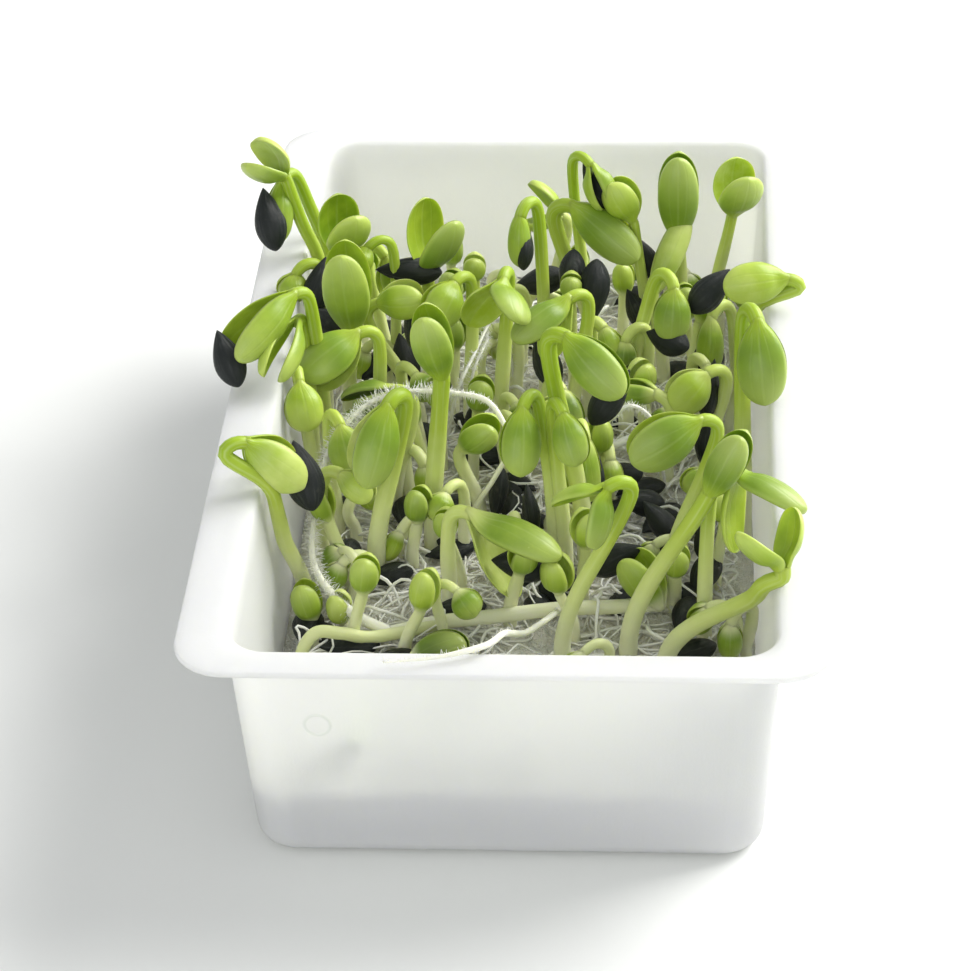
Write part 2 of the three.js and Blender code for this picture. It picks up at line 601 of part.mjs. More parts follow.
// Hulls: name, middle x y z, long axis x y z from the point to the broad end, direction of the flat
// side, length, width and thickness. Rows of one name are grown together.
const HULLS = [
  ["worn_hull_02", -57, 42.5, 60.7, 0.2, -0.5, -0.8, AT_VIEWER, 14, 7, 4.6],
  ["worn_hull_11", -60, -9.1, 57.2, 0.37, -0.52, -0.77, AT_VIEWER, 12.5, 6.6, 4.4],
  ["worn_hull_15", -42, -39.3, 48.9, 0.28, -0.53, -0.8, AT_VIEWER, 14.5, 7.8, 5],
  ["worn_hull_32", -2, 37.5, 57.7, 0.02, -0.56, -0.83, SIDEWAYS, 11.5, 7, 4.6],
  ["worn_hull_35", 38, 31, 50, -0.66, -0.42, -0.62, AT_VIEWER, 12.5, 7, 4.6],
  ["worn_hull_38", 29, 24.5, 41.7, 0.85, -0.45, -0.1, AT_VIEWER, 10.5, 6.6, 4.4],
  ["worn_hull_45", 18, -21, 56, -0.57, -0.46, -0.68, AT_VIEWER, 13.5, 6.4, 4.4],
  ["worn_hull_49", 38, 33, 33, -0.1, -0.3, -0.95, AT_VIEWER, 9.5, 7, 4.6],
  ["worn_hull_58", 14, -16, 34, 0, -0.56, -0.83, AT_VIEWER, 13.5, 5.4, 4.4],
  ["worn_hull_62", 1, -44, 31.5, 1, -0.06, -0.09, AT_VIEWER, 12.5, 7.4, 4.8],
  ["loose_hull_a", -25, -9, 19.4, -0.1, 1, 0.1, FLAT_DOWN, 11, 6.5, 4.2],
  ["loose_hull_b", -37, -24, 19.2, 0.3, 1, 0, FLAT_DOWN, 11, 6.5, 4.2],
  ["loose_hull_c", -27, -31, 19.2, 1, 0.5, 0, FLAT_DOWN, 11, 6.5, 4.2],
  ["loose_hull_d", -12, -42, 19.2, 1, 0.1, 0, FLAT_DOWN, 11, 6.5, 4.2],
  ["loose_hull_e", -42, -49, 19.2, 0.1, 1, 0.1, FLAT_DOWN, 11, 6.5, 4.2],
  ["loose_hull_f", 37, -34, 22, 0.4, 0.8, 0.5, FLAT_DOWN, 11, 6.5, 4.2],
  ["loose_hull_g", -27, 39, 50, 1, 0, -0.05, AT_VIEWER, 14.5, 6.2, 4.6],
  ["loose_hull_h", 38, 12, 37, -0.15, -0.55, -0.82, SIDEWAYS, 13.5, 7, 4.4],
  ["loose_hull_i", 13, 41, 44, 0.07, 0.55, 0.83, AT_VIEWER, 14, 6.8, 4.6],
  ["loose_hull_i", 8, 45, 45, 0.07, 0.55, 0.83, AT_VIEWER, 12.5, 6, 4.4],
  ["loose_hull_j", -45.5, 29, 52, -0.23, -0.54, -0.81, AT_VIEWER, 13, 6.4, 4.4],
  ["loose_hull_j", -43, 23.5, 46.5, 0.86, -0.29, -0.43, AT_VIEWER, 9.5, 6, 4.2],
];

// Every hull by name, swollen by `grow`, in the order of the table.
function hullSolids(grow) {
  const solids = new Map();
  for (const [name, x, y, z, ax, ay, az, flat, ...sizes] of HULLS) {
    const hull = seedHull(V(x, y, z), V(ax, ay, az).normalize(), flat, sizes, grow);
    solids.set(name, solids.has(name) ? solids.get(name).add(hull) : hull);
  }
  return solids;
}

// All sprouts that cross are collected under the first of them.
function groupsOf(items) {
  const owner = items.map((_, i) => i);
  const find = (i) => (owner[i] === i ? i : find(owner[i]));
  for (let i = 0; i < items.length; i++) {
    for (let j = i + 1; j < items.length; j++) {
      if (!items[i].box.intersectsBox(items[j].box)) continue;
      if (volumeOf(items[i].solid.intersect(items[j].solid)) > FUSE_MM3) {
        owner[Math.max(find(i), find(j))] = Math.min(find(i), find(j));
      }
    }
  }
  const groups = new Map();
  items.forEach((item, i) => {
    const key = find(i);
    if (!groups.has(key)) groups.set(key, []);
    groups.get(key).push(item);
  });
  return [...groups.values()];
}

const part = new THREE.Group();
part.name = "sunflower_microgreens";

function addNode(name, solid, colour) {
  const body = welded(bodiesOf(solid)[0]);
  const material = new THREE.MeshStandardMaterial({ color: colour, roughness: 0.6 });
  const mesh = new THREE.Mesh(geometryOf(body), material);
  mesh.name = name;
  part.add(mesh);
}

const hulls = hullSolids(0);
const fatHulls = hullSolids(GAP);
const sprouts = SPROUTS.map(readSprout).map((s) => {
  const item = { name: s.name, solid: sproutSolid(s, 0), fat: sproutSolid(s, GAP), hole: stemHole(s) };
  const worn = fatHulls.get(`worn_hull_${s.name}`);
  if (worn) item.solid = largest(item.solid.subtract(worn));
  return { ...item, box: boxOf(item.fat) };
});
const fallen = { name: "fallen", solid: fallenSprout(0), fat: fallenSprout(GAP) };
sprouts.push({ ...fallen, box: boxOf(fallen.fat) });

const clumps = groupsOf(sprouts);
const placed = [];
for (const clump of clumps) {
  let solid = clump.map((s) => s.solid).reduce((a, b) => a.add(b));
  for (const other of placed.flat()) {
    if (clump.some((s) => s.box.intersectsBox(other.box))) solid = solid.subtract(other.fat);
  }
  placed.push(clump);
  addNode(`sprout_${clump[0].name}`, largest(solid), COLOURS.sprout);
}

for (const [name, hull] of hulls) {
  const box = boxOf(hull);
  let solid = hull;
  for (const s of sprouts) {
    if (name !== `worn_hull_${s.name}` && box.intersectsBox(s.box)) solid = solid.subtract(s.fat);
  }
  addNode(name, largest(solid), COLOURS.hull);
}

let mat = rootMat();
for (const s of sprouts) mat = mat.subtract(s.hole ?? s.fat);
addNode("root_mat", largest(mat), COLOURS.mat);
addNode("tray", tray(), COLOURS.tray);

// Heads hang out past the left flange, so the whole is moved to stand centred on its origin.
const middle = new THREE.Box3().setFromObject(part).getCenter(V(0, 0, 0));
part.position.set(-middle.x, -middle.y, 0);

export default part;
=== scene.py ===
"""Sunflower microgreens in a milky plastic tray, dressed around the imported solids."""

import math

import bpy
import numpy as np
from mathutils import Matrix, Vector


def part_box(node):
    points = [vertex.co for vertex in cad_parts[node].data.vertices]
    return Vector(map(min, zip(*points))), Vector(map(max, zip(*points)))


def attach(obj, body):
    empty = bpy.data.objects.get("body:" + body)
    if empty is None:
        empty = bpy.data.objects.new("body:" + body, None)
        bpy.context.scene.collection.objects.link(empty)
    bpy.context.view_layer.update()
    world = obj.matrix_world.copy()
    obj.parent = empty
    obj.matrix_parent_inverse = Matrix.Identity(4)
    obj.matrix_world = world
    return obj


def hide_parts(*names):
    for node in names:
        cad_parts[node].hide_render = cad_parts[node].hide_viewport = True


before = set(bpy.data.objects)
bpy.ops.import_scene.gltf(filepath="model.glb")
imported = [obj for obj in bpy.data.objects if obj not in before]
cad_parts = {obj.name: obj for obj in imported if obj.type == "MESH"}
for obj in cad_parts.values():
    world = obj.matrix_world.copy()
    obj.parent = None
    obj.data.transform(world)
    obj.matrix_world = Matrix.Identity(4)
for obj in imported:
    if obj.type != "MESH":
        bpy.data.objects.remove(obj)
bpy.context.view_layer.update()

MM = 0.001
UP = np.array([0.0, 0.0, 1.0])
ANY_WAY = (0, 6.28)  # once round, in radians

# The tray, in millimetres about its own middle
MOUTH_X, MOUTH_Y, TRAY_H = 50.0, 98.0, 50.0
FLANGE_X, FLANGE_Y, FLANGE_T = 10.0, 7.0, 1.3
WALL, DRAFT, FOOT_ROUND = 1.3, 3.0, 3.5
MOUTH_R, FLANGE_R = 7.0, 10.0
WALL_LEVELS = (12, 20, 28, 36, 44)
FOOT_DEGREES = (0, 8, 30, 50, 70, 90)  # where the foot's rounding has its rings
WALL_FLARE = ((1.2, 0.0), (0.35, 0.3), (0.0, 0.9))  # below the flange, and out of the wall
FLANGE_EDGE = ((0.0, 2.0), (0.0, 0.35), (0.1, 0.1), (0.35, 0.0))  # from its face, and from its edge
MOUTH_FLARE = ((0.0, 0.9), (0.25, 0.35), (0.9, 0.0))  # below the mouth, and out of the inside
MOULD_MARK = (-34.3, -98.3, 33.0)  # small ring that the mould leaves on the front wall

# The root mat
MAT_TOP, MAT_GAP, MAT_FLOOR_GAP = 16.0, 0.8, 0.3
MAT_CORNER = 0.9  # how closely it follows the tub's round corners
MAT_LIFT = 0.6  # share of the foot's rounding by which its ends rise
MAT_DROP, MAT_DROP_POWER = 2.0, 8  # how far its top falls at the side walls, and how suddenly
MAT_STEPS_X, MAT_STEPS_Y = 130, 260

# Stems
FOOT_H, FOOT_BELOW = 2.5, 3.0  # how far a stem is straight above and below the mat's top
WALL_CLEAR, LEAN_OUT = 1.0, 1.2  # gap to the wall, and how steeply a stem may lean over the rim
BEND_R, BEND_STEPS, BEND_FITS = 3.2, 9, 4
STEM_PULL = 0.33  # share of its length by which a stem's curve is drawn straight at both ends
STEM_STEPS, STEM_SMOOTHINGS = 22, 3
STEM_FULL, STEM_TAPER, STEM_SWELL = 1.06, 0.2, 0.03
GREENING, PALEST = 44.0, 0.12  # height in which a stem turns green, and the least of that share

# Seed leaves; lengths along one are shares of its own length
LEAF_T, LEAF_CUP, LEAF_MIN, LEAF_MAX = 1.6, 1.1, 10.0, 20.0
LEAF_BELLY = 0.5  # where a seed leaf is widest
LEAF_RISE, LEAF_BLUNT = 0.75, 2.4  # powers of its outline before and after the belly
LEAF_BOW = 9.0  # degrees by which its midline first leans out and then comes back in
LEAF_OPENS, LEAF_FILLS, LEAF_CUPS = 0.35, 0.3, 0.4  # where it is fully turned, thick and cupped
LEAF_SHORTEN = 0.6  # least share of its length that reaches the head's tip when wide open
LEAF_FIT = 0.99  # share of the solid's leaf length, so that the fuller tip stays within it
LEAF_SUNK, LEAF_PINCH = 0.1, 0.35  # how deep it starts inside the stem, and how it narrows there
LEAF_GAP = 0.05  # from the head's axis to the inner face of each leaf
LEAF_ON_STEM = 1.02  # its radius at the neck against the stem's, which it covers
LEAF_THIN = 0.45  # how much thinner it is at the tip
LEAF_ROUND, LEAF_GROOVE, GROOVE_W = 0.85, 0.25, 0.14  # back's power, depth and width of the groove

# Hulls
HULL_SKEW, HULL_FULL = 1.35, 0.62  # powers that shift and fatten the sine of a hull's width
HULL_END = 0.14  # angle at which its first and last rings stand
HULL_PINCH = 0.22  # how far its section is drawn in towards the sharp edges
HULL_RIBS, HULL_RIB, HULL_FIT = 12, 0.02, 0.968  # ribs round it, their share, and its own
SMALL_HULL_L, SMALL_HULL_W, SMALL_HULL_T = (10, 13.5), 0.5, 0.36  # width and thickness as shares
SCATTERED_HULLS, SCATTERED_L, SCATTERED_W = 46, (8.5, 12.5), 0.52
SCATTERED_TILT, SCATTERED_RISE = 0.25, (0.8, 2.2)

# Bare roots
ROOT_R, FALLEN_R, SECOND_R = 0.75, 1.5, 1.3
ROOT_CORE, ROOT_SWELL, ROOT_SWELL_STEPS = 0.55, 0.8, 18  # the looped root, and its thicker start
RIM_ROOT_SHARE, RIM_ROOT_THINS, RIM_ROOT_LEAST = 0.85, 14, 0.3
LOOSE_ROOTS, LOOSE_POINTS, LOOSE_R, LOOSE_LIFT = 1150, 12, (0.16, 0.42), 0.25
LOOSE_X, LOOSE_Y, LOOSE_LIMIT_X, LOOSE_LIMIT_Y = 43, 91, 44, 93  # where they start and turn back
LOOSE_STEP, LOOSE_LEAST_STEP = (1.0, 2.4), 0.3
LOOSE_BEND, LOOSE_SWAY, LOOSE_SWAYS = 0.35, 0.4, (0.5, 1.2)  # radians a point, and radians
HIGH_ROOTS, HIGH_HUMP, LOW_HUMP = 0.25, 7.0, 2.6  # share of them that rise high, and both heights
ROOT_HAIRS = (4200, 2.9, 0.42)  # number, greatest length, and the share of the root that is full
RIM_HAIRS, ARCH_HAIRS = (700, 1.4, 1.0), (420, 1.6, 1.0)
HAIR_R, HAIR_START, HAIR_SHARE = (0.07, 0.065, 0.05, 0.03), 0.3, (0.35, 1.0)
HAIR_SCATTER, HAIR_DROOP = 0.35, (-0.5, 0.3)
HAIR_FADES, HAIR_LEAST = 4, 0.15  # how fast they shorten along a root, and the share that is left out
FALLEN_TIP, FALLEN_TURN, FALLEN_OPEN, FALLEN_LEAF = (22, -40, 31), 20, 24, (12, 8)

# Small shoots that fill the mat
FILL_TRIES, FILL_GAP, FILL_MOST = 900, 6.5, 88
FILL_X, FILL_Y = 42, 88
FILL_TALL, FILL_MIDDLE, MIDDLE_TALLER = (8, 16), 55, 3  # the middle of the tray has taller ones
FILL_LEAN, TIP_TURN = (1, 4), 0.3
NODDING, NOD_REACH, NOD_DROP = 0.6, (3, 6), (3, 7)  # share whose heads hang, and how
STAND_REACH, STAND_RISE, TIP_LEAST = (0, 2), (6, 9), 5
FILL_LEAF_W, FILL_OPENS, FILL_TURN = (4.5, 6.5), (6, 14), (-40, 40)
FILL_R, FILL_TONE = (1.1, 1.5), (0.1, 0.6)
SMALL_STEPS, SMALL_LEAF_MIN, SMALL_SPLIT_Y = 12, 6.0, 30
LEAVES_DIFFER = 0.15

# Camera and light
CAMERA_AT = (33.252, -568.628, 402.499)
CAMERA_HEADING, CAMERA_TILT, CAMERA_ROLL = -4.266, 33.821, -1.944
FOCAL_PIXELS, PHOTO_LONGER, SENSOR = 3252.47, 971, 36
FLOOR_HALF, SURROUND, SURROUND_POWER = 4.0, (0.93, 0.95, 0.95, 1), 0.56
LIGHTS_AIM = (0, 0, 0.03)
LIGHTS = (  # name, place, size, watts, colour
    ("key_light", (0.76, 0.52, 0.72), 0.85, 23.0, (1.0, 0.99, 0.96)),
    ("fill_light", (-0.2, -1.0, 0.34), 0.9, 4.8, (0.99, 1.0, 0.98)),
)

tray_low, tray_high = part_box("tray")
SHIFT = np.array([(tray_low.x + tray_high.x) / 2, (tray_low.y + tray_high.y) / 2, 0.0])

# Each row: name, foot x y, top of the stem x y z, tip of the head x y z, leaf width, opening angle,
# turn of the leaves about the head, stem radius.
SPROUTS = [
    ("01", -43, 47, -54, 47, 69, -60, 44, 76.4, 10, 34, 40, 1.5),
    ("02", -41, 53, -54, 51, 67, -56, 43, 54.5, 6, 10, 20, 1.5),
    ("03", -42, 42, -42, 43, 52, -40, 42, 64.5, 10, 40, -30, 1.5),
    ("04", -40, 24, -38, 21, 46, -39, 22, 66, 10, 20, 0, 1.5),
    ("05", -33, 47, -35, 48, 51, -31, 45, 43, 7, 10, 40, 1.4),
    ("06", -23, 41, -23, 41, 49, -20, 41, 64, 10, 40, -40, 1.5),
    ("07", -25, 29, -33, 27, 49, -23, 28, 50, 8, 30, 10, 1.4),
    ("08", -14, 28, -15, 28, 55, -21, 21, 47, 9, 14, 10, 1.5),
    ("09", -19, -16, -16, -16, 58, -19, -16, 73, 8, 20, 0, 1.9),
    ("10", -33, 8, -34, 9, 53, -46, 3, 44, 10, 30, -40, 1.5),
    ("11", -43, 8, -47, 2, 66, -60, -8.5, 57.5, 8, 24, 10, 1.5),
    ("12", -45, 1, -47, 3, 59, -51, -13, 55, 7, 10, 60, 1.4),
    ("13", -44, -6, -47, -2, 50, -45, -9, 42, 8, 10, 20, 1.4),
    ("15", -43, -39, -54.5, -46.5, 61, -43, -40.5, 49, 9, 26, 20, 1.6),
    ("16", -30, -28, -24, -27, 60, -31, -34, 44, 9, 30, 10, 1.9),
    ("25", -10, -6, -13, -6, 34, -7, -7, 40, 7, 20, 0, 1.5),
    ("29", 11, 62, 10, 60, 67, 15, 56, 58, 6, 8, 90, 1.3),
    ("30", 13, 56, 6, 58, 56, 22, 54, 45, 9, 40, 20, 1.9),
    ("31", 25, 54, 21, 55, 54, 17, 57, 62, 8, 20, 10, 1.3),
    ("32", 2, 41, -1, 41, 66, -3, 37, 53, 5, 10, 0, 1.5),
    ("33", 32, 60, 31, 59, 48, 31, 59, 68, 9, 4, 0, 1.7),
    ("34", 38, 65, 43, 65, 50, 45, 64, 62, 10, 36, -20, 1.4),
    ("35", 43, 27, 55, 24, 57, 41, 24, 55, 9, 40, -30, 1.6),
    ("36", 45, -12, 46, -5, 67, 49, -14, 50, 10, 10, 0, 1.8),
    ("37", 28, 48, 26, 50, 39, 33, 61, 52, 6, 8, 10, 1.4),
    ("38", 20, 29, 29, 31, 54, 29.5, 26, 41, 8, 24, 0, 1.6),
    ("43", -7, 21, -5, 21, 60, -7, 13, 53, 10, 95, 35, 1.6),
    ("44", 8, 21, 10, 21, 55, 0, 15, 45, 8, 60, -50, 1.5),
    ("45", 13, -22, 8, -20, 70, 21, -27, 60, 9, 8, 10, 1.9),
    ("46", 16, 34, 14, 33, 41, 18, 28, 33, 7, 8, 0, 1.4),
    ("48", 37, 10, 39, 9, 44, 30, 5, 37, 9, 12, 0, 1.5),
    ("49", 44, 36, 40, 37, 43, 38, 32, 29, 6, 8, 0, 1.4),
    ("51", 7, -27, 2, -27, 60, 0, -34, 46, 8, 20, 10, 1.5),
    ("52", 9, -28, 8, -30, 60, 12, -37, 50, 7, 10, 0, 1.5),
    ("53", 30, -30, 37, -32, 58, 22, -36, 51, 10, 16, -10, 1.5),
    ("54", 22, -54, 38, -54, 56, 44, -54, 69, 7, 8, 20, 1.8),
    ("55", 37, -49, 41, -49, 59, 49, -57, 49, 9, 74, 80, 1.5),
    ("56", 29, -62, 51, -76, 54, 48, -73, 62, 9, 73, 55, 1.8),
    ("57", 9, -56, 21, -60, 62, 12, -62, 53, 8, 66, 50, 1.6),
    ("58", 13, -11, 12, -13, 44, 14, -19, 30, 5, 8, 0, 1.5),
    ("62", -14, -39, -10, -40, 41, 5, -46, 29, 9, 56, 70, 1.6),
    ("76", 2, 84, 4, 82, 40, -4, 80, 44, 9, 60, 60, 1.4),
]

# Sprouts that grow through one another share one solid, named after the first.
JOINED = {"11": "10", "12": "10", "13": "10", "31": "29", "37": "33", "52": "51"}

FALLEN_STEM = [
    (-25, -52, 20), (-16, -49, 20.5), (-6, -47, 20.5), (8, -44, 20.5), (20, -43, 20.5), (28, -44, 22),
]
SECOND_STEM = [
    (-41, -60, 12), (-42, -60, 20), (-39, -59, 25), (-34, -57, 23.5), (-28, -54, 20.5), (-16, -49.5, 20.5),
]
FALLEN_ROOT = [
    (-25, -52, 20), (-34, -48, 23), (-41, -41, 29), (-41, -28, 36), (-39, -19, 42), (-33, -10, 46),
    (-25, -7, 48), (-16, -7, 48), (-8, -8, 47), (-4, -11, 43), (-3, -14, 39), (-6, -14, 32),
    (-10, -12, 24), (-13, -10, 17),
]
RIM_ROOT = [
    (8, -44, 20.5), (7, -51, 24), (3, -66, 31), (1, -80, 41), (0, -91, 49), (-3, -98, 51.4),
    (-12, -101.5, 51.2), (-21, -103, 51.2),
]

# Bare roots that arch up between the stems out of the mat, and their radii.
ROOT_ARCHES = [
    [(14, 6, 16), (15, 1, 33), (18, -2, 39), (21.5, -3, 42.5), (25, -2, 40), (27, 0, 34), (29, 4, 16)],
    [(14, 10, 16), (17, 4, 27), (21, 5, 29), (25, 8, 29), (28, 12, 16)],
    [(-19, 24, 16), (-16, 20, 31), (-12.5, 28, 36), (-9, 37, 39), (-6, 40, 34), (-5, 42, 16)],
    [(-15, 22, 16), (-13, 25, 32), (-10, 32, 37), (-12, 38, 33), (-14, 41, 16)],
]
ROOT_ARCH_R = [0.5, 1.1, 0.4, 0.35]

# Hulls: node, middle x y z, long axis from the point to the broad end, direction that the flat side
# faces, length, width, thickness. Rows of one node are grown together.
AT_VIEWER, SIDEWAYS = (0.0, -0.83, 0.56), (1.0, 0.2, 0.0)
HULLS = [
    ("worn_hull_02", (-57, 42.5, 60.7), (0.2, -0.5, -0.8), AT_VIEWER, 14, 7, 4.6),
    ("worn_hull_11", (-60, -9.1, 57.2), (0.37, -0.52, -0.77), AT_VIEWER, 12.5, 6.6, 4.4),
    ("worn_hull_15", (-42, -39.3, 48.9), (0.28, -0.53, -0.8), AT_VIEWER, 14.5, 7.8, 5),
    ("worn_hull_32", (-2, 37.5, 57.7), (0.02, -0.56, -0.83), SIDEWAYS, 11.5, 7, 4.6),
    ("worn_hull_35", (38, 31, 50), (-0.66, -0.42, -0.62), AT_VIEWER, 12.5, 7, 4.6),
    ("worn_hull_38", (29, 24.5, 41.7), (0.85, -0.45, -0.1), AT_VIEWER, 10.5, 6.6, 4.4),
    ("worn_hull_45", (18, -21, 56), (-0.57, -0.46, -0.68), AT_VIEWER, 13.5, 6.4, 4.4),
    ("worn_hull_49", (38, 33, 33), (-0.1, -0.3, -0.95), AT_VIEWER, 9.5, 7, 4.6),
    ("worn_hull_58", (14, -16, 34), (0, -0.56, -0.83), AT_VIEWER, 13.5, 5.4, 4.4),
    ("worn_hull_62", (1, -44, 31.5), (1, -0.06, -0.09), AT_VIEWER, 12.5, 7.4, 4.8),
    ("loose_hull_a", (-25, -9, 19.4), (-0.1, 1, 0.1), (0, 0, 1), 11, 6.5, 4.2),
    ("loose_hull_b", (-37, -24, 19.2), (0.3, 1, 0), (0, 0, 1), 11, 6.5, 4.2),
    ("loose_hull_c", (-27, -31, 19.2), (1, 0.5, 0), (0, 0, 1), 11, 6.5, 4.2),
    ("loose_hull_d", (-12, -42, 19.2), (1, 0.1, 0), (0, 0, 1), 11, 6.5, 4.2),
    ("loose_hull_e", (-42, -49, 19.2), (0.1, 1, 0.1), (0, 0, 1), 11, 6.5, 4.2),
    ("loose_hull_f", (37, -34, 22), (0.4, 0.8, 0.5), (0, 0, 1), 11, 6.5, 4.2),
    ("loose_hull_g", (-27, 39, 50), (1, 0, -0.05), AT_VIEWER, 14.5, 6.2, 4.6),
    ("loose_hull_h", (38, 12, 37), (-0.15, -0.55, -0.82), SIDEWAYS, 13.5, 7, 4.4),
    ("loose_hull_i", (13, 41, 44), (0.07, 0.55, 0.83), AT_VIEWER, 14, 6.8, 4.6),
    ("loose_hull_i", (8, 45, 45), (0.07, 0.55, 0.83), AT_VIEWER, 12.5, 6, 4.4),
    ("loose_hull_j", (-45.5, 29, 52), (-0.23, -0.54, -0.81), AT_VIEWER, 13, 6.4, 4.4),
    ("loose_hull_j", (-43, 23.5, 46.5), (0.86, -0.29, -0.43), AT_VIEWER, 9.5, 6, 4.2),
]

# More hulls between the stems, too many for nodes of their own: middle, long axis, flat side.
SMALL_HULLS = [
    ((3, 25, 36), (0.34, -0.52, -0.78), AT_VIEWER), ((22, 50, 34), (0.4, -0.3, -0.8), AT_VIEWER),
    ((0, 62, 34), (1, 0, 0.3), AT_VIEWER), ((-20, 35, 24), (0.2, 1, 0.2), (0, 0, 1)),
    ((-12, 20, 22), (-0.1, 0.5, 0.8), AT_VIEWER), ((-16, -5, 19), (1, 0.25, 0), (0, 0, 1)),
    ((-6, -7, 23), (0.15, 0.4, 0.9), SIDEWAYS), ((1.5, -20, 28), (0.16, -0.55, -0.82), SIDEWAYS),
    ((9, -33, 20), (0.1, -1, 0.3), (0, 0, 1)), ((19, -37, 28), (-0.8, 0.1, -0.5), AT_VIEWER),
    ((27, -27, 19.4), (0.7, 0.7, 0), (0, 0, 1)), ((38, 6, 26), (0, 0.2, 1), AT_VIEWER),
    ((12, -15, 27), (-0.5, -0.2, -0.8), AT_VIEWER), ((33, -44, 19.5), (0.3, 1, 0.1), (0, 0, 1)),
    ((34, -57, 19.5), (0.8, 0.5, 0), (0, 0, 1)), ((23, 1, 19.2), (1, 0.3, 0), (0, 0, 1)),
    ((28, -10, 19.2), (0.6, 0.8, 0), (0, 0, 1)), ((18, -9, 19.4), (0.4, 0.9, 0.1), (0, 0, 1)),
    ((24, 57, 43), (0.4, -0.3, -0.8), AT_VIEWER), ((13.5, 59, 60), (0.5, -0.4, -0.7), AT_VIEWER),
    ((-28, 31, 32), (0.2, -0.5, -0.8), AT_VIEWER), ((-34, 35, 29), (0.6, 0.6, 0.3), AT_VIEWER),
    ((-25, 27, 45), (0.0, -0.56, -0.83), SIDEWAYS), ((20, 27, 35), (0.15, -0.5, -0.8), SIDEWAYS),
    ((-30, -70, 19.2), (0.5, 1, 0), (0, 0, 1)), ((-24, -60, 19.2), (1, 0.2, 0), (0, 0, 1)),
    ((-4, -66, 19.2), (1, -0.3, 0), (0, 0, 1)), ((-33, -55, 19.0), (1, 0.1, 0), (0, 0, 1)),
    ((37, -27, 27.5), (-0.25, -0.55, -0.8), SIDEWAYS), ((24, -8, 22), (0.8, 0.3, -0.4), AT_VIEWER),
    ((28, -18, 24), (0.6, -0.5, -0.5), AT_VIEWER), ((19, -3, 25), (0.9, -0.2, 0.3), AT_VIEWER),
]

# Small shoots between the others: foot x y, top x y z, tip x y z, width, opening, turn, radius, tone.
SMALL_SHOOTS = [
    (8, 44, 8, 42, 42, 8, 41, 48, 5, 6, 0, 1.1, 0.3),
    (12, 36, 14, 31, 42, 19, 27, 35, 5, 8, 0, 1.5, 0.3),
    (24, 32, 22, 29, 42, 19, 27, 33, 6, 8, 0, 1.4, 0.7),
    (6, 2, 6, 1, 33, 6, 0, 41, 5, 6, 0, 1.2, 0.3),
    (4, 13, 6, 11, 39, 10, 5, 31, 6, 8, 0, 1.5, 0.75),
    (29, 9, 27, 7, 39, 19, 12, 37, 5, 8, 0, 1.5, 0.4),
    (12, -4, 10, -7, 33, 8, -10, 26, 5, 8, 0, 1.5, 0.2),
    (17, -3, 17, -5, 34, 18, -9, 27, 5, 8, 0, 1.4, 0.2),
    (-25, -1, -23, -3, 31, -21, -5, 24, 5, 8, 0, 1.4, 0.15),
    (-26, -20, -24, -22, 26, -28, -26, 20, 4, 8, 0, 1.2, 0.2),
    (-32, -35, -34, -37, 28, -38, -38, 22, 5, 8, 0, 1.3, 0.3),
    (-40, -50, -41, -48, 20, -43, -46, 28, 6, 20, 0, 1.2, 0.3),
    (-34, -48, -35, -47, 19, -36, -47, 26, 5, 8, 20, 1.1, 0.1),
    (-22, -61, -20, -61, 20, -9, -60, 24, 8, 10, 30, 1.5, 0.75),
    (31, -28, 29, -30, 28, 25, -30, 23, 4.5, 8, 0, 1.2, 0.3),
    (45, -55, 44, -57, 31, 42, -58, 20, 5, 8, 0, 1.3, 0.3),
    (-46, 33, -48, 32, 56, -52, 30, 48, 7, 10, 20, 1.4, 0.3),
    (-31, 38, -33, 37, 59, -37, 35, 54, 5, 8, 0, 1.2, 0.15),
    (-13, 45, -13, 43, 46, -13, 42, 52, 5, 8, 0, 1.1, 0.1),
    (-28, -2, -26, -1, 45, -38, 1, 39, 9, 14, 50, 1.4, 0.9),
    (-41, -26, -36, -31, 44, -29, -34, 40, 6, 8, 0, 1.5, 0.1),
    (-39, -14, -38, -16, 48, -34, -22, 38, 8, 14, 10, 1.4, 0.25),
    (-24, 18, -26, 16, 40, -21, 12, 34, 6, 8, 20, 1.3, 0.4),
    (-5, 8, -4, 6, 34, -1, 3, 29, 5, 8, 0, 1.3, 0.3),
    (34, 40, 36, 42, 36, 40, 44, 44, 7, 14, 20, 1.3, 0.3),
    (-4, 53, -6, 52, 38, -11, 50, 34, 6, 8, 0, 1.4, 0.4),
    (-40, 60, -41, 60, 36, -38, 58, 44, 7, 12, 10, 1.4, 0.4),
    (40, -5, 38, -7, 30, 33, -10, 26, 6, 8, 0, 1.4, 0.4),
    (17, -80, 18, -82, 31, 21, -86, 24, 9, 20, 20, 1.5, 0.4),
    (-18, -84, -17, -84, 29, -10, -86, 25, 8, 30, 40, 1.4, 0.5),
]


def vec(*xyz):
    """A point or a direction from its three numbers."""
    return np.array(xyz, float)


def unit(v):
    """A vector, or each one of an array, divided by its length."""
    return v / np.linalg.norm(v, axis=-1, keepdims=True)


def smoothstep(t):
    """The cubic 3 t^2 - 2 t^3 between 0 and 1, level beyond them."""
    t = np.clip(t, 0, 1)
    return t * t * (3 - 2 * t)


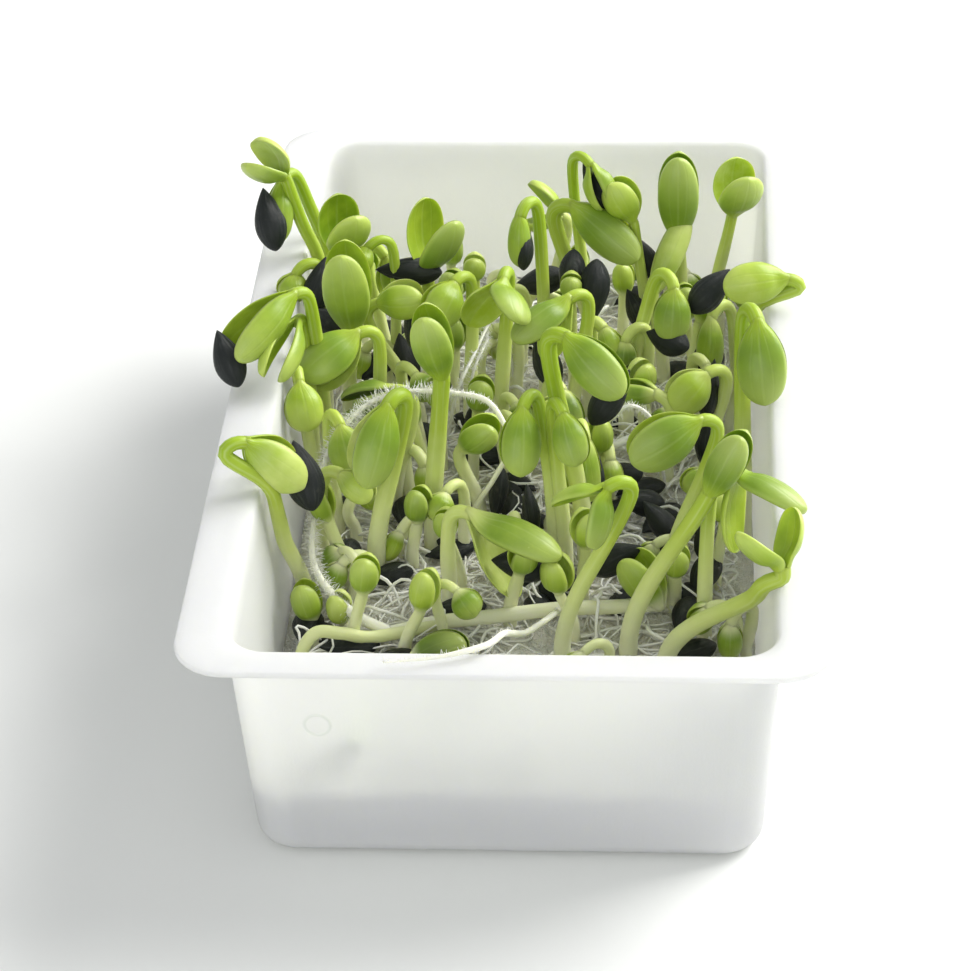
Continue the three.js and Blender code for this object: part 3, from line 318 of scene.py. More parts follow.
class Surface:
    """Collects closed lofts as whole arrays and puts them into one mesh."""

    def __init__(self):
        self.points, self.faces, self.places, self.looks = [], [], [], []
        self.count = 0

    def loft(self, rings, place=(0, 0, 0), look=(0, 0, 0), start=None, end=None):
        """Skins rings of equal length, and closes each end with a fan to the middle of its ring.

        rings is stations by points round each; place is where a point lies (across, along, outer)
        and look is (kind, tone, height share), each for every point or one for all."""
        stations, around = rings.shape[:2]
        start = rings[0].mean(0) if start is None else start
        end = rings[-1].mean(0) if end is None else end
        index = self.count + np.arange(stations * around).reshape(stations, around)
        a, b = index[:-1], np.roll(index, -1, 1)[:-1]
        c, d = np.roll(index, -1, 1)[1:], index[1:]
        quads = np.stack([a, b, c, d], -1).reshape(-1, 4)
        low, high = self.count + stations * around, self.count + stations * around + 1
        first, last = index[0], index[-1]
        fan0 = np.stack([np.roll(first, -1), first, np.full(around, low)], -1)
        fan1 = np.stack([last, np.roll(last, -1), np.full(around, high)], -1)
        every = np.concatenate([rings.reshape(-1, 3), np.stack([start, end])])
        triangles = np.concatenate([quads[:, [0, 1, 2]], quads[:, [0, 2, 3]], fan0, fan1]) - self.count
        p, q, r = np.moveaxis((every - every.mean(0))[triangles], 1, 0)
        if (p * np.cross(q, r)).sum() < 0:  # the faces look inwards, so they are turned round
            quads, fan0, fan1 = quads[:, ::-1], fan0[:, ::-1], fan1[:, ::-1]
        self.points.append(every)
        self.faces += [quads, np.concatenate([fan0, fan1])]
        for store, values in ((self.places, place), (self.looks, look)):
            field = np.broadcast_to(np.asarray(values, float), rings.shape)
            tips = np.stack([field[0].mean(0), field[-1].mean(0)])
            store.append(np.concatenate([field.reshape(-1, 3), tips]))
        self.count += len(every)

    def make(self, name, material):
        """The mesh object of everything collected, in metres, smooth shaded."""
        points = np.concatenate(self.points) * MM + SHIFT
        mesh = bpy.data.meshes.new(name)
        quads = np.concatenate([f for f in self.faces if f.shape[1] == 4])
        fans = np.concatenate([f for f in self.faces if f.shape[1] == 3])
        corners = np.concatenate([quads.ravel(), fans.ravel()]).astype(np.int32)
        sizes = np.concatenate([np.full(len(quads), 4), np.full(len(fans), 3)])
        mesh.vertices.add(len(points))
        mesh.vertices.foreach_set("co", points.ravel())
        mesh.loops.add(len(corners))
        mesh.loops.foreach_set("vertex_index", corners)
        mesh.polygons.add(len(sizes))
        starts = np.concatenate([[0], np.cumsum(sizes)[:-1]]).astype(np.int32)
        mesh.polygons.foreach_set("loop_start", starts)
        mesh.polygons.foreach_set("use_smooth", np.ones(len(sizes), bool))
        mesh.update(calc_edges=True)
        for key, field in (("place", self.places), ("look", self.looks)):
            attribute = mesh.attributes.new(key, "FLOAT_VECTOR", "POINT")
            attribute.data.foreach_set("vector", np.concatenate(field).ravel())
        mesh.materials.append(material)
        piece = bpy.data.objects.new(name, mesh)
        bpy.context.scene.collection.objects.link(piece)
        return piece


def carried_frames(path):
    """Two directions across a path at each of its points, carried along it without twisting: each
    side is the one before it less its share along the new tangent."""
    tangents = unit(np.gradient(path, axis=0))
    side = vec(1, 0, 0) if abs(tangents[0][2]) > 0.9 else UP
    sides = []
    for t in tangents:
        side = unit(side - t * (side @ t))
        sides.append(side)
    sides = np.array(sides)
    return sides, np.cross(tangents, sides)


def tube_rings(path, radii, around):
    """Circle of a radius given at each point of a path: point + r (cos a side + sin a across)."""
    sides, across = carried_frames(path)
    angle = np.linspace(0, 2 * np.pi, around, endpoint=False)
    ring = np.cos(angle)[None, :, None] * sides[:, None] + np.sin(angle)[None, :, None] * across[:, None]
    return path[:, None] + ring * np.asarray(radii)[:, None, None]


def through(points, steps):
    """A smooth line through points: between neighbours, a cubic whose slope at each point is half
    the difference of the points beside it."""
    p = np.array(points, float)
    p = np.concatenate([p[:1], p, p[-1:]])
    t = (np.arange(steps) / steps)[None, :, None]
    a, b, c, d = (p[i : len(p) - 3 + i][:, None] for i in range(4))
    line = 2 * b + (c - a) * t + (2 * a - 5 * b + 4 * c - d) * t**2 + (3 * b - a - 3 * c + d) * t**3
    return np.concatenate([line.reshape(-1, 3) / 2, p[-1:]])


def head_axes(ahead, turn):
    """Width and opening directions of a head, turned about its own axis by `turn` degrees."""
    wide = unit(np.cross(ahead, vec(0, -1, 0)))
    opening = unit(np.cross(wide, ahead))
    a = math.radians(turn)
    return wide * math.cos(a) + opening * math.sin(a), opening * math.cos(a) - wide * math.sin(a)


def inner_half(mouth, z):
    """Half of the tub's inner width at a height: it shrinks evenly from the mouth to the floor."""
    return mouth - DRAFT * (1 - z / TRAY_H)


class Sprout:
    """One shoot: straight out of the mat, over to its top, round a bend, then the head.

    The rise is a cubic whose ends are drawn up and in line with the bend, the bend is an arc that
    ends in line with the head, and the whole is smoothed by averages of neighbours."""

    def __init__(self, row, steps=STEM_STEPS, shortest=LEAF_MIN):
        self.name, x, y, tx, ty, tz, hx, hy, hz, self.width, self.open, self.turn, self.radius = row
        foot, top, tip = vec(x, y, MAT_TOP + FOOT_H), vec(tx, ty, tz), vec(hx, hy, hz)
        arrive, ahead = unit(top - foot), unit(tip - top)
        for _ in range(BEND_FITS):
            angle = math.acos(np.clip(arrive @ ahead, -1, 1))
            side = unit(ahead - arrive * (ahead @ arrive))

            def offset(a):
                a = np.asarray(a)[..., None]
                return BEND_R * (np.sin(a) * arrive + (1 - np.cos(a)) * side)

            start = top - offset(min(angle, math.pi / 2))
            self.neck = start + offset(angle)
            ahead = unit(tip - self.neck)
        self.ahead = ahead
        pull = np.linalg.norm(start - foot) * STEM_PULL
        t = np.linspace(0, 1, steps)[:, None]
        rise = (foot * (1 - t) ** 3 + 3 * t * (1 - t) ** 2 * (foot + UP * pull)
                + 3 * t**2 * (1 - t) * (start - arrive * pull) + start * t**3)
        z = rise[:, 2]
        for axis, mouth in ((0, MOUTH_X), (1, MOUTH_Y)):
            most = inner_half(mouth, np.minimum(z, TRAY_H)) - self.radius - WALL_CLEAR
            most = most + LEAN_OUT * np.maximum(0, z - TRAY_H - self.radius)
            rise[:, axis] = np.clip(rise[:, axis], -most, most)
        root = np.array([[x, y, MAT_TOP - FOOT_BELOW], [x, y, MAT_TOP]])
        bend = start + offset(np.linspace(0, angle, BEND_STEPS)[1:])
        path = np.concatenate([root, rise, bend])
        for _ in range(STEM_SMOOTHINGS):
            path[1:-1] = path[1:-1] * 0.5 + (path[:-2] + path[2:]) * 0.25
        self.path = path
        share = max(math.cos(math.radians(self.open) / 2), LEAF_SHORTEN)
        reach = np.linalg.norm(tip - self.neck)
        self.length = LEAF_FIT * float(np.clip(reach / share, shortest, LEAF_MAX))

    def radii(self):
        """Thinner towards the head in a straight line, times one plus a small slow sine."""
        along = np.linspace(0, 1, len(self.path))
        swelling = 1 + STEM_SWELL * np.sin(along * 17 + self.radius * 40)
        return self.radius * (STEM_FULL - STEM_TAPER * along) * swelling


def stem_height(z):
    """Where a height lies between the mat, 0, and fully green stems, 1."""
    return np.clip((z - MAT_TOP) / GREENING, PALEST, 1)


def half_width(u, width, stem):
    """Half the leaf's width: from the stem's radius it rises as a power of a sine to the belly, and
    beyond that it falls as a blunt superellipse."""
    rising = np.sin(np.pi / 2 * np.clip(u / LEAF_BELLY, 0, 1)) ** LEAF_RISE
    past = np.maximum(0, (u - LEAF_BELLY) / (1 - LEAF_BELLY))
    falling = width / 2 * np.sqrt(np.clip(1 - past**LEAF_BLUNT, 0, 1))
    return np.where(u < LEAF_BELLY, stem + (width / 2 - stem) * rising, falling)


def add_leaf(surface, neck, ahead, turn, hand, opens, length, width, tone, stem, around=26, fine=9):
    """A thick seed leaf. Its midline turns away from the head's axis over the first third and is
    bowed by a cosine; across it runs a lens section, cupped outwards, that starts as half of the
    stem's round section and has a groove along the inner midrib."""
    wide, opening = head_axes(ahead, turn)
    beyond = np.sin(np.radians(np.linspace(90 / fine, 89, fine)))
    before = np.linspace(-LEAF_SUNK, LEAF_BELLY, fine + 3)
    u = np.concatenate([before, LEAF_BELLY + (1 - LEAF_BELLY) * beyond])
    lean = math.radians(opens / 2) * smoothstep(u / LEAF_OPENS)
    angle = hand * (lean + math.radians(LEAF_BOW) * np.cos(np.pi * u))
    heading = np.cos(angle)[:, None] * ahead + np.sin(angle)[:, None] * opening
    outward = hand * (np.cos(angle)[:, None] * opening - np.sin(angle)[:, None] * ahead)
    step = np.diff(u, prepend=u[0])[:, None] * length
    middle = neck - LEAF_SUNK * length * ahead + opening * hand * LEAF_GAP
    middle = middle + np.cumsum((heading + np.roll(heading, 1, 0)) / 2 * step, 0)
    pinched = 1 - LEAF_PINCH * np.clip(-u / LEAF_SUNK, 0, 1)
    half = half_width(np.maximum(u, 0), width, stem) * pinched
    thick = (stem + (LEAF_T - stem) * smoothstep(u / LEAF_FILLS)) * pinched
    thick = thick * (1 - LEAF_THIN * np.clip(u, 0, 1) ** 4)
    a = np.linspace(0, 2 * np.pi, around, endpoint=False)
    w, s = np.cos(a), np.sin(a)
    cup = LEAF_CUP * smoothstep(u / LEAF_CUPS) * half / (width / 2)
    back = np.where(s > 0, np.abs(s) ** LEAF_ROUND, 0)
    groove = np.where(s < 0, LEAF_GROOVE * np.exp(-((w / GROOVE_W) ** 2)), 0)
    lift = thick[:, None] * back + cup[:, None] * (1 - w**2)
    lift = lift + groove * smoothstep(u / LEAF_FILLS)[:, None]
    rings = middle[:, None] + (half[:, None] * w)[..., None] * wide + lift[..., None] * outward[:, None]
    place = np.stack(np.broadcast_arrays(w[None], u[:, None], s[None]), -1)
    surface.loft(rings, place, (1.0, tone, stem_height(neck[2])))


def add_stem(surface, path, radii, tone, around=14, pale=None):
    """A round stem along a path. Its colour runs from white at the mat to green above it, or is as
    `pale` says all along."""
    height = stem_height(path[:, 2]) if pale is None else np.full(len(path), pale)
    angle = np.linspace(-1, 1, around, endpoint=False)
    along = np.linspace(0, 1, len(path))
    place = np.stack(np.broadcast_arrays(angle[None], along[:, None], np.ones((1, 1))), -1)
    look = np.broadcast_arrays(np.zeros((1, 1)), np.full((1, around), tone), height[:, None])
    surface.loft(tube_rings(path, radii, around), place, np.stack(look, -1))


def add_hull(surface, middle, axis, flat, length, width, thick, tone, around=28, along=20):
    """A sunflower hull: its width follows a skewed sine, raised to a power, from the point to the
    broad end; its section is an ellipse drawn in towards its two sharp edges, with fine ribs."""
    axis = unit(vec(*axis))
    start = vec(*middle) - axis * length / 2
    across = unit(vec(*flat) - axis * (vec(*flat) @ axis))
    beside = np.cross(axis, across)
    u = (1 - np.cos(np.linspace(HULL_END, np.pi - HULL_END, along))) / 2
    full = np.sin(np.pi * u**HULL_SKEW) ** HULL_FULL
    a = np.linspace(0, 2 * np.pi, around, endpoint=False)
    ribs = HULL_FIT + HULL_RIB * np.cos(HULL_RIBS * a)
    w = np.cos(a) * ribs
    f = np.sin(a) * (1 - HULL_PINCH + HULL_PINCH * np.abs(np.sin(a))) * ribs
    rings = (start + axis * (u * length)[:, None])[:, None]
    rings = rings + (full[:, None] * w * width / 2)[..., None] * beside
    rings = rings + (full[:, None] * f * thick / 2)[..., None] * across
    place = np.stack(np.broadcast_arrays(a[None], u[:, None], np.sin(a)[None]), -1)
    surface.loft(rings, place, (0.0, tone, length), start, start + axis * length)


class Value:
    """A shader socket that adds Math nodes when it is used in an expression."""

    def __init__(self, look, socket):
        self.look, self.socket = look, socket

    def maths(self, operation, *values):
        """The operation on other values, or on this one where none is given."""
        values = values or (self,)
        return self.look.node("ShaderNodeMath", {"operation": operation}, dict(enumerate(values)))

    def __add__(self, other):
        return self.maths("ADD", self, other)

    __radd__ = __add__

    def __sub__(self, other):
        return self.maths("SUBTRACT", self, other)

    def __rsub__(self, other):
        return self.maths("SUBTRACT", other, self)

    def __mul__(self, other):
        return self.maths("MULTIPLY", self, other)

    __rmul__ = __mul__

    def between(self, low, high):
        """0 below `low`, 1 above `high`, a soft step between them."""
        settings = {"interpolation_type": "SMOOTHSTEP"}
        return self.look.node("ShaderNodeMapRange", settings, {0: self, 1: low, 2: high, 3: 0.0, 4: 1.0})


class Look:
    """A material and the nodes behind its Principled shader."""

    def __init__(self, name, **fixed):
        self.material = bpy.data.materials.new(name)
        self.material.use_nodes = True
        self.tree = self.material.node_tree
        self.shader = self.tree.nodes["Principled BSDF"]
        for key, value in fixed.items():
            self.shader.inputs[key.replace("_", " ")].default_value = value

    def node(self, kind, settings, inputs, output=0):
        """A node of a kind, its settings first, then the numbers or links of its sockets."""
        n = self.tree.nodes.new(kind)
        for key, value in settings.items():
            if key == "stops":
                ramp = n.color_ramp.elements
                while len(ramp) < len(value):
                    ramp.new(0.5)
                for element, (at, colour) in zip(ramp, value):
                    element.position, element.color = at, (*colour, 1)
            else:
                setattr(n, key, value)
        for key, value in inputs.items():
            if isinstance(value, Value):
                self.tree.links.new(value.socket, n.inputs[key])
            else:
                n.inputs[key].default_value = value
        return Value(self, n.outputs[output])

    def attribute(self, name):
        """The three numbers of a vertex attribute."""
        whole = self.node("ShaderNodeAttribute", {"attribute_name": name}, {}, "Vector")
        return [self.node("ShaderNodeSeparateXYZ", {}, {0: whole}, i) for i in range(3)]

    def here(self):
        """Where a point lies on the piece, in metres."""
        return self.node("ShaderNodeTexCoord", {}, {}, "Object")

    def noise(self, scale, detail=3.0, roughness=0.5, vector=None):
        inputs = {"Vector": vector or self.here(), "Scale": scale, "Detail": detail, "Roughness": roughness}
        return self.node("ShaderNodeTexNoise", {}, inputs)

    def vector(self, x, y, z):
        return self.node("ShaderNodeCombineXYZ", {}, {0: x, 1: y, 2: z})

    def mix(self, factor, a, b):
        """Colour a where the factor is 0 and colour b where it is 1."""
        a, b = (c if isinstance(c, Value) else (*c, 1) for c in (a, b))
        return self.node("ShaderNodeMix", {"data_type": "RGBA"}, {0: factor, 6: a, 7: b}, 2)

    def ramp(self, value, stops):
        return self.node("ShaderNodeValToRGB", {"stops": stops}, {0: value})

    def bump(self, height, strength, distance):
        inputs = {"Height": height, "Strength": strength, "Distance": distance}
        return self.node("ShaderNodeBump", {}, inputs)

    def feed(self, **sockets):
        """Links values to the shader's sockets, and gives the finished material."""
        for key, value in sockets.items():
            self.tree.links.new(value.socket, self.shader.inputs[key.replace("_", " ")])
        return self.material


# Stems from white at the mat to green above it, and seed leaves from pale to dark.
STEM_STOPS = (
    (0.0, (0.90, 0.90, 0.78)), (0.14, (0.84, 0.86, 0.58)), (0.4, (0.69, 0.76, 0.30)),
    (0.7, (0.46, 0.58, 0.08)), (1.0, (0.31, 0.45, 0.02)),
)
BLADE_STOPS = (
    (0.0, (0.68, 0.76, 0.28)), (0.3, (0.38, 0.51, 0.035)), (0.6, (0.15, 0.26, 0.007)),
    (1.0, (0.04, 0.09, 0.002)),
)
# Of these, the tip colour is a painted highlight, paler towards a leaf's tip on its outer face, and the
# base colour is painted shade, darker towards its stem.
STEM_STREAK, BLADE_BACK, BLADE_LIT_TIP = (0.76, 0.82, 0.50), (0.44, 0.58, 0.13), (0.66, 0.75, 0.24)
BLADE_SHADED_BASE, BLADE_VEIN, BLADE_EDGE = (0.15, 0.27, 0.007), (0.68, 0.76, 0.36), (0.58, 0.70, 0.20)


def green_look():
    """Living stems and seed leaves: colour runs with height, side of the leaf and the shoot's tone, with a
    painted highlight towards each leaf's tip and painted shade at its base, on the outer face.
    """
    look = Look("living_green", Subsurface_Weight=0.25, Subsurface_Scale=0.0022, Coat_Weight=0.12,
                Subsurface_Radius=(0.9, 1.0, 0.3), Specular_IOR_Level=0.28, Coat_Roughness=0.22)
    across, along, outer = look.attribute("place")
    leafy, tone, height = look.attribute("look")
    blotch = look.noise(260.0, 4.0)
    fine = look.noise(1500.0, 3.0)
    stem = look.ramp(height + (blotch - 0.5) * 0.12, STEM_STOPS)
    streak = look.noise(1.0, 3.0, 0.6, look.vector(across * 9, along * 3, tone * 7))
    stem = look.mix(streak.between(0.45, 0.75) * 0.2, stem, STEM_STREAK)
    blade = look.ramp(tone + (blotch - 0.5) * 0.35, BLADE_STOPS)
    outside = outer.between(-0.2, 0.4)
    blade = look.mix(outside * 0.2, blade, BLADE_BACK)
    # Painted light and shade on the outer face: paler towards the tip, darker towards the base.
    blade = look.mix(along.between(0.35, 1.0) * outside * 0.4, blade, BLADE_LIT_TIP)
    blade = look.mix((1 - along.between(0.1, 0.55)) * outside * 0.4, blade, BLADE_SHADED_BASE)
    ribs = across.maths("ABSOLUTE")
    midrib = 1 - ribs.between(0.0, 0.10)
    beside = (ribs - along * 0.25 - 0.3).maths("ABSOLUTE")
    side_rib = 1 - beside.between(0.0, 0.07)
    blade = look.mix((midrib * 0.12 + side_rib * 0.05) * (1 - along * 0.6), blade, BLADE_VEIN)
    edge = ribs.between(0.86, 1.0)
    blade = look.mix(edge * 0.3, blade, BLADE_EDGE)
    colour = look.mix(leafy * along.between(-0.05, 0.3), stem, blade)
    rough = 0.30 + blotch * 0.16 + (1 - leafy) * 0.06
    veins = (midrib + side_rib * 0.5) * leafy * -0.5
    relief = fine * 0.3 + blotch * 0.7 + veins + streak * (1 - leafy) * 0.5
    return look.feed(Base_Color=colour, Roughness=rough, Normal=look.bump(relief, 0.25, 0.0004))


def hull_look():
    """Black husk with grey stripes that run from its point to its broad end, and some dust."""
    look = Look("black_husk", Specular_IOR_Level=0.35)
    angle, along, _ = look.attribute("place")
    _, tone, _ = look.attribute("look")
    stripe_at = look.vector(angle.maths("SINE") * 3, along * 0.7, tone * 11)
    stripes = look.noise(2.2, 2.0, 0.5, stripe_at)
    fibre_at = look.vector((angle * 5).maths("SINE") * 2 + angle * 0.4, along * 1.2, tone * 5)
    fibre = look.noise(9.0, 3.0, 0.6, fibre_at)
    dark = look.mix(fibre, (0.003, 0.005, 0.006), (0.012, 0.017, 0.016))
    colour = look.mix(stripes.between(0.54, 0.68) * 0.3 * (1 - along * 0.4), dark, (0.11, 0.12, 0.11))
    dust = look.noise(420.0, 4.0)
    colour = look.mix(dust.between(0.62, 0.8) * 0.2, colour, (0.20, 0.18, 0.15))
    return look.feed(Base_Color=colour, Roughness=0.3 + fibre * 0.26,
                     Normal=look.bump(fibre + stripes * 0.5, 0.5, 0.0003))


def root_look():
    """Damp white roots, darker and yellower in the hollows as painted shade, with dark grains of husk
    caught in them.
    """
    look = Look("white_roots", Subsurface_Weight=0.3, Subsurface_Scale=0.0015, Specular_IOR_Level=0.35,
                Subsurface_Radius=(1.0, 0.9, 0.7))
    broad = look.noise(70.0, 4.0)
    wander = {"Scale": 160.0, "Distortion": 26.0, "Detail": 4.0, "Detail Scale": 2.2}
    threads = look.node("ShaderNodeTexWave", {"bands_direction": "DIAGONAL"},
                        {"Vector": look.here(), **wander})
    # Painted shade: where the broad relief sinks into hollows, the colour is darker and yellower.
    colour = look.mix(broad.between(0.35, 0.7), (0.78, 0.76, 0.62), (0.91, 0.90, 0.82))
    colour = look.mix(threads * 0.5, colour, (0.95, 0.95, 0.91))
    grains = look.node("ShaderNodeTexVoronoi", {}, {"Vector": look.here(), "Scale": 420.0})
    patches = look.noise(45.0, 2.0).between(0.52, 0.62)
    speck = (1 - grains.between(0.10, 0.2)) * patches
    colour = look.mix(speck * 0.85, colour, (0.05, 0.04, 0.03))
    return look.feed(Base_Color=colour, Roughness=0.5 + threads * 0.2,
                     Normal=look.bump(threads + broad * 2, 0.8, 0.0008))


def strand_look():
    """Single roots and root hairs: wet white, a little warmer in places."""
    look = Look("root_strands", Subsurface_Weight=0.4, Subsurface_Scale=0.001, Specular_IOR_Level=0.5,
                Subsurface_Radius=(1.0, 0.95, 0.8))
    tone = look.noise(300.0, 3.0)
    colour = look.mix(tone.between(0.3, 0.7), (0.88, 0.87, 0.78), (0.96, 0.96, 0.93))
    return look.feed(Base_Color=colour, Roughness=0.36 + tone * 0.2)


def tub_look():
    """Milky see-through plastic: light scatters in it, with faint flow marks, fine scratches and a painted
    green glow low on the walls, as of the shoots' light shining through.
    """
    look = Look("milky_plastic", IOR=1.3, Transmission_Weight=0.3, Specular_IOR_Level=0.4,
                Subsurface_Weight=0.9, Subsurface_Radius=(1.0, 1.0, 0.85), Subsurface_Scale=0.006)
    cloud = look.noise(28.0, 4.0, 0.6)
    grain = look.noise(1800.0, 2.0)
    # Painted light: below the rim the milk turns greener in patches, a painted glow of the green shoots
    # shining through the plastic, which fades out towards the rim.
    high = look.node("ShaderNodeSeparateXYZ", {}, {0: look.here()}, 2).between(0.02, 0.049)
    milk = look.mix(cloud.between(0.3, 0.7), (0.86, 0.865, 0.86), (0.90, 0.90, 0.895))
    colour = look.mix((1 - high) * (0.4 + cloud * 0.5), milk, (0.84, 0.855, 0.825))
    scratch_at = look.node("ShaderNodeMapping", {}, {"Vector": look.here(), "Scale": (900.0, 60.0, 60.0)})
    scratch = look.noise(1.0, 3.0, 0.6, scratch_at)
    rough = 0.36 + cloud * 0.16 + scratch.between(0.6, 0.8) * 0.1
    mark = tuple(np.array(MOULD_MARK) * MM + SHIFT)
    away = look.node("ShaderNodeVectorMath", {"operation": "DISTANCE"}, {0: look.here(), 1: mark}, "Value")
    ring = away.between(0.0019, 0.0023) * (1 - away.between(0.0024, 0.003))
    colour = look.mix(ring * 0.35, colour, (0.55, 0.62, 0.55))
    relief = grain * 0.4 + cloud + scratch * 0.3 + ring * 4
    return look.feed(Base_Color=colour, Roughness=rough, Normal=look.bump(relief, 0.12, 0.0005))


GREEN, HUSK, ROOTS, STRANDS, TUB = green_look(), hull_look(), root_look(), strand_look(), tub_look()


def settle(piece, slot, *nodes):
    """Every piece rides on the one body and stands for its nodes; its slot is not used."""
    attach(piece, "root")
    if nodes:
        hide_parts(*nodes)


# Tones of both leaves, from pale 0 to dark 1, where a shoot isn't an even green.
TONES = {
    "01": (0.25, 0.6), "03": (0.5, 0.4), "04": (0.45, 0.55), "06": (0.3, 0.6), "07": (0.15, 0.4),
    "10": (0.15, 0.55), "13": (0.2, 0.3), "15": (0.3, 0.2), "16": (0.1, 0.7), "30": (0.2, 0.6),
    "31": (0.25, 0.3), "33": (0.5, 0.55), "34": (0.25, 0.5), "35": (0.5, 0.3), "36": (0.75, 0.7),
    "37": (0.15, 0.2), "38": (0.75, 0.6), "43": (0.3, 0.6), "44": (0.2, 0.65), "45": (0.6, 0.55),
    "48": (0.05, 0.3), "51": (0.6, 0.65), "53": (0.3, 0.7), "54": (0.7, 0.75), "55": (0.3, 0.6),
    "57": (0.4, 0.6), "62": (0.2, 0.6),
}
EVEN_TONES, TONE_DRIFT = (0.4, 0.5), 0.08

sprouts = [Sprout(row) for row in SPROUTS]
random = np.random.default_rng(11)


def add_shoot(surface, s, tones, around=14, leaf_around=26, fine=9):
    """A stem along the sprout's path and two leaves from its neck, one to each side; both tones
    drift a little from shoot to shoot."""
    drift = random.uniform(-TONE_DRIFT, TONE_DRIFT)
    radii = s.radii()
    add_stem(surface, s.path, radii, 0.5 + drift, around)
    for hand, tone in zip((-1, 1), tones):
        add_leaf(surface, s.neck, s.ahead, s.turn, hand, s.open, s.length, s.width, tone + drift,
                 radii[-1] * LEAF_ON_STEM, leaf_around, fine)


def dress_sprouts():
    """One green piece for each solid of shoots."""
    groups = {}
    for s in sprouts:
        groups.setdefault(JOINED.get(s.name, s.name), []).append(s)
    for key, members in groups.items():
        surface = Surface()
        for s in members:
            add_shoot(surface, s, TONES.get(s.name, EVEN_TONES))
        settle(surface.make(f"shoot_{key}", GREEN), "sprout", f"sprout_{key}")


def dress_fallen():
    """The shoot on its side with the stem beside it, its root loop and the root over the rim. Gives
    the lines of both roots."""
    surface = Surface()
    stem, second = through(FALLEN_STEM, 8), through(SECOND_STEM, 8)
    add_stem(surface, stem, np.full(len(stem), FALLEN_R), 0.4, pale=0.1)
    add_stem(surface, second, np.full(len(second), SECOND_R), 0.4, pale=0.3)
    ahead = unit(vec(*FALLEN_TIP) - stem[-1])
    for hand, tone in ((-1, 0.3), (1, 0.45)):
        add_leaf(surface, stem[-1], ahead, FALLEN_TURN, hand, FALLEN_OPEN, *FALLEN_LEAF, tone, FALLEN_R)
    root, rim = through(FALLEN_ROOT, 7), through(RIM_ROOT, 8)
    radii = ROOT_CORE + ROOT_SWELL * np.maximum(0, 1 - np.arange(len(root)) / ROOT_SWELL_STEPS)
    add_stem(surface, root, radii, 0.2, around=10, pale=0.0)
    to_end = len(rim) - 1 - np.arange(len(rim))
    radii = ROOT_R * RIM_ROOT_SHARE * np.clip(to_end / RIM_ROOT_THINS, RIM_ROOT_LEAST, 1)
    add_stem(surface, rim, radii, 0.2, around=8, pale=0.0)
    settle(surface.make("shoot_fallen", GREEN), "sprout", "sprout_fallen")
    return root, rim


def add_small_hull(surface, middle, axis, flat, length, breadth, around, along):
    """A hull whose width and thickness are shares of its length, with few faces."""
    width, thick = length * breadth, length * SMALL_HULL_T
    add_hull(surface, middle, axis, flat, length, width, thick, random.random(), around, along)


def dress_hulls():
    """One piece for each hull or pair of hulls, and one for the many small ones."""
    groups = {}
    for node, *sizes in HULLS:
        groups.setdefault(node, []).append(sizes)
    for node, members in groups.items():
        surface = Surface()
        for sizes in members:
            add_hull(surface, *sizes, random.random())
        settle(surface.make(node.replace("hull", "husk"), HUSK), "hull", node)
    surface = Surface()
    for middle, axis, flat in SMALL_HULLS:
        length = random.uniform(*SMALL_HULL_L)
        add_small_hull(surface, middle, axis, flat, length, SMALL_HULL_W, 20, 14)
    for _ in range(SCATTERED_HULLS):
        x, y = random.uniform(-FILL_X, FILL_X), random.uniform(-FILL_Y, FILL_Y)
        turn, tilt = random.uniform(*ANY_WAY), random.normal(0, SCATTERED_TILT)
        length = random.uniform(*SCATTERED_L)
        axis = (math.cos(turn), math.sin(turn), tilt)
        middle = (x, y, mat_height(x, y) + random.uniform(*SCATTERED_RISE))
        add_small_hull(surface, middle, axis, UP, length, SCATTERED_W, 16, 12)
    settle(surface.make("husks_among_stems", HUSK), "hull")


def short_shoot(x, y):
    """A row for a short shoot at a place: it leans a little some way, and hangs or stands."""
    tall = random.uniform(*FILL_TALL) + (MIDDLE_TALLER if abs(y) < FILL_MIDDLE else 0)
    z = MAT_TOP + tall
    lean, way = random.uniform(*FILL_LEAN), random.uniform(*ANY_WAY)
    top = (x + lean * math.cos(way), y + lean * math.sin(way))
    if random.random() < NODDING:
        reach, rise = random.uniform(*NOD_REACH), -random.uniform(*NOD_DROP)
    else:
        reach, rise = random.uniform(*STAND_REACH), random.uniform(*STAND_RISE)
    tip = (top[0] + reach * math.cos(way + TIP_TURN), top[1] + reach * math.sin(way + TIP_TURN))
    leaves = [random.uniform(*between) for between in (FILL_LEAF_W, FILL_OPENS, FILL_TURN)]
    radius, tone = random.uniform(*FILL_R), random.uniform(*FILL_TONE)
    return (x, y, *top, z, *tip, max(z + rise, MAT_TOP + TIP_LEAST), *leaves, radius, tone)


def dress_small_shoots():
    """Small shoots between the others, and more where the mat is bare, in three pieces."""
    taken = [s.path[0][:2] for s in sprouts]
    rows = list(SMALL_SHOOTS)
    for _ in range(FILL_TRIES):
        spot = random.uniform((-FILL_X, -FILL_Y), (FILL_X, FILL_Y))
        nearest = min(np.hypot(*(spot - other)) for other in taken)
        if nearest < FILL_GAP or len(rows) > FILL_MOST:
            continue
        taken.append(spot)
        rows.append(short_shoot(*spot))
    surfaces = {"back": Surface(), "middle": Surface(), "front": Surface()}
    for *row, tone in rows:
        y = row[1]
        side = "back" if y > SMALL_SPLIT_Y else "front" if y < -SMALL_SPLIT_Y else "middle"
        shoot = Sprout(("", *row), SMALL_STEPS, SMALL_LEAF_MIN)
        add_shoot(surfaces[side], shoot, (tone, tone + LEAVES_DIFFER), 10, 16, 6)
    for side, surface in surfaces.items():
        settle(surface.make(f"small_shoots_{side}", GREEN), "sprout")


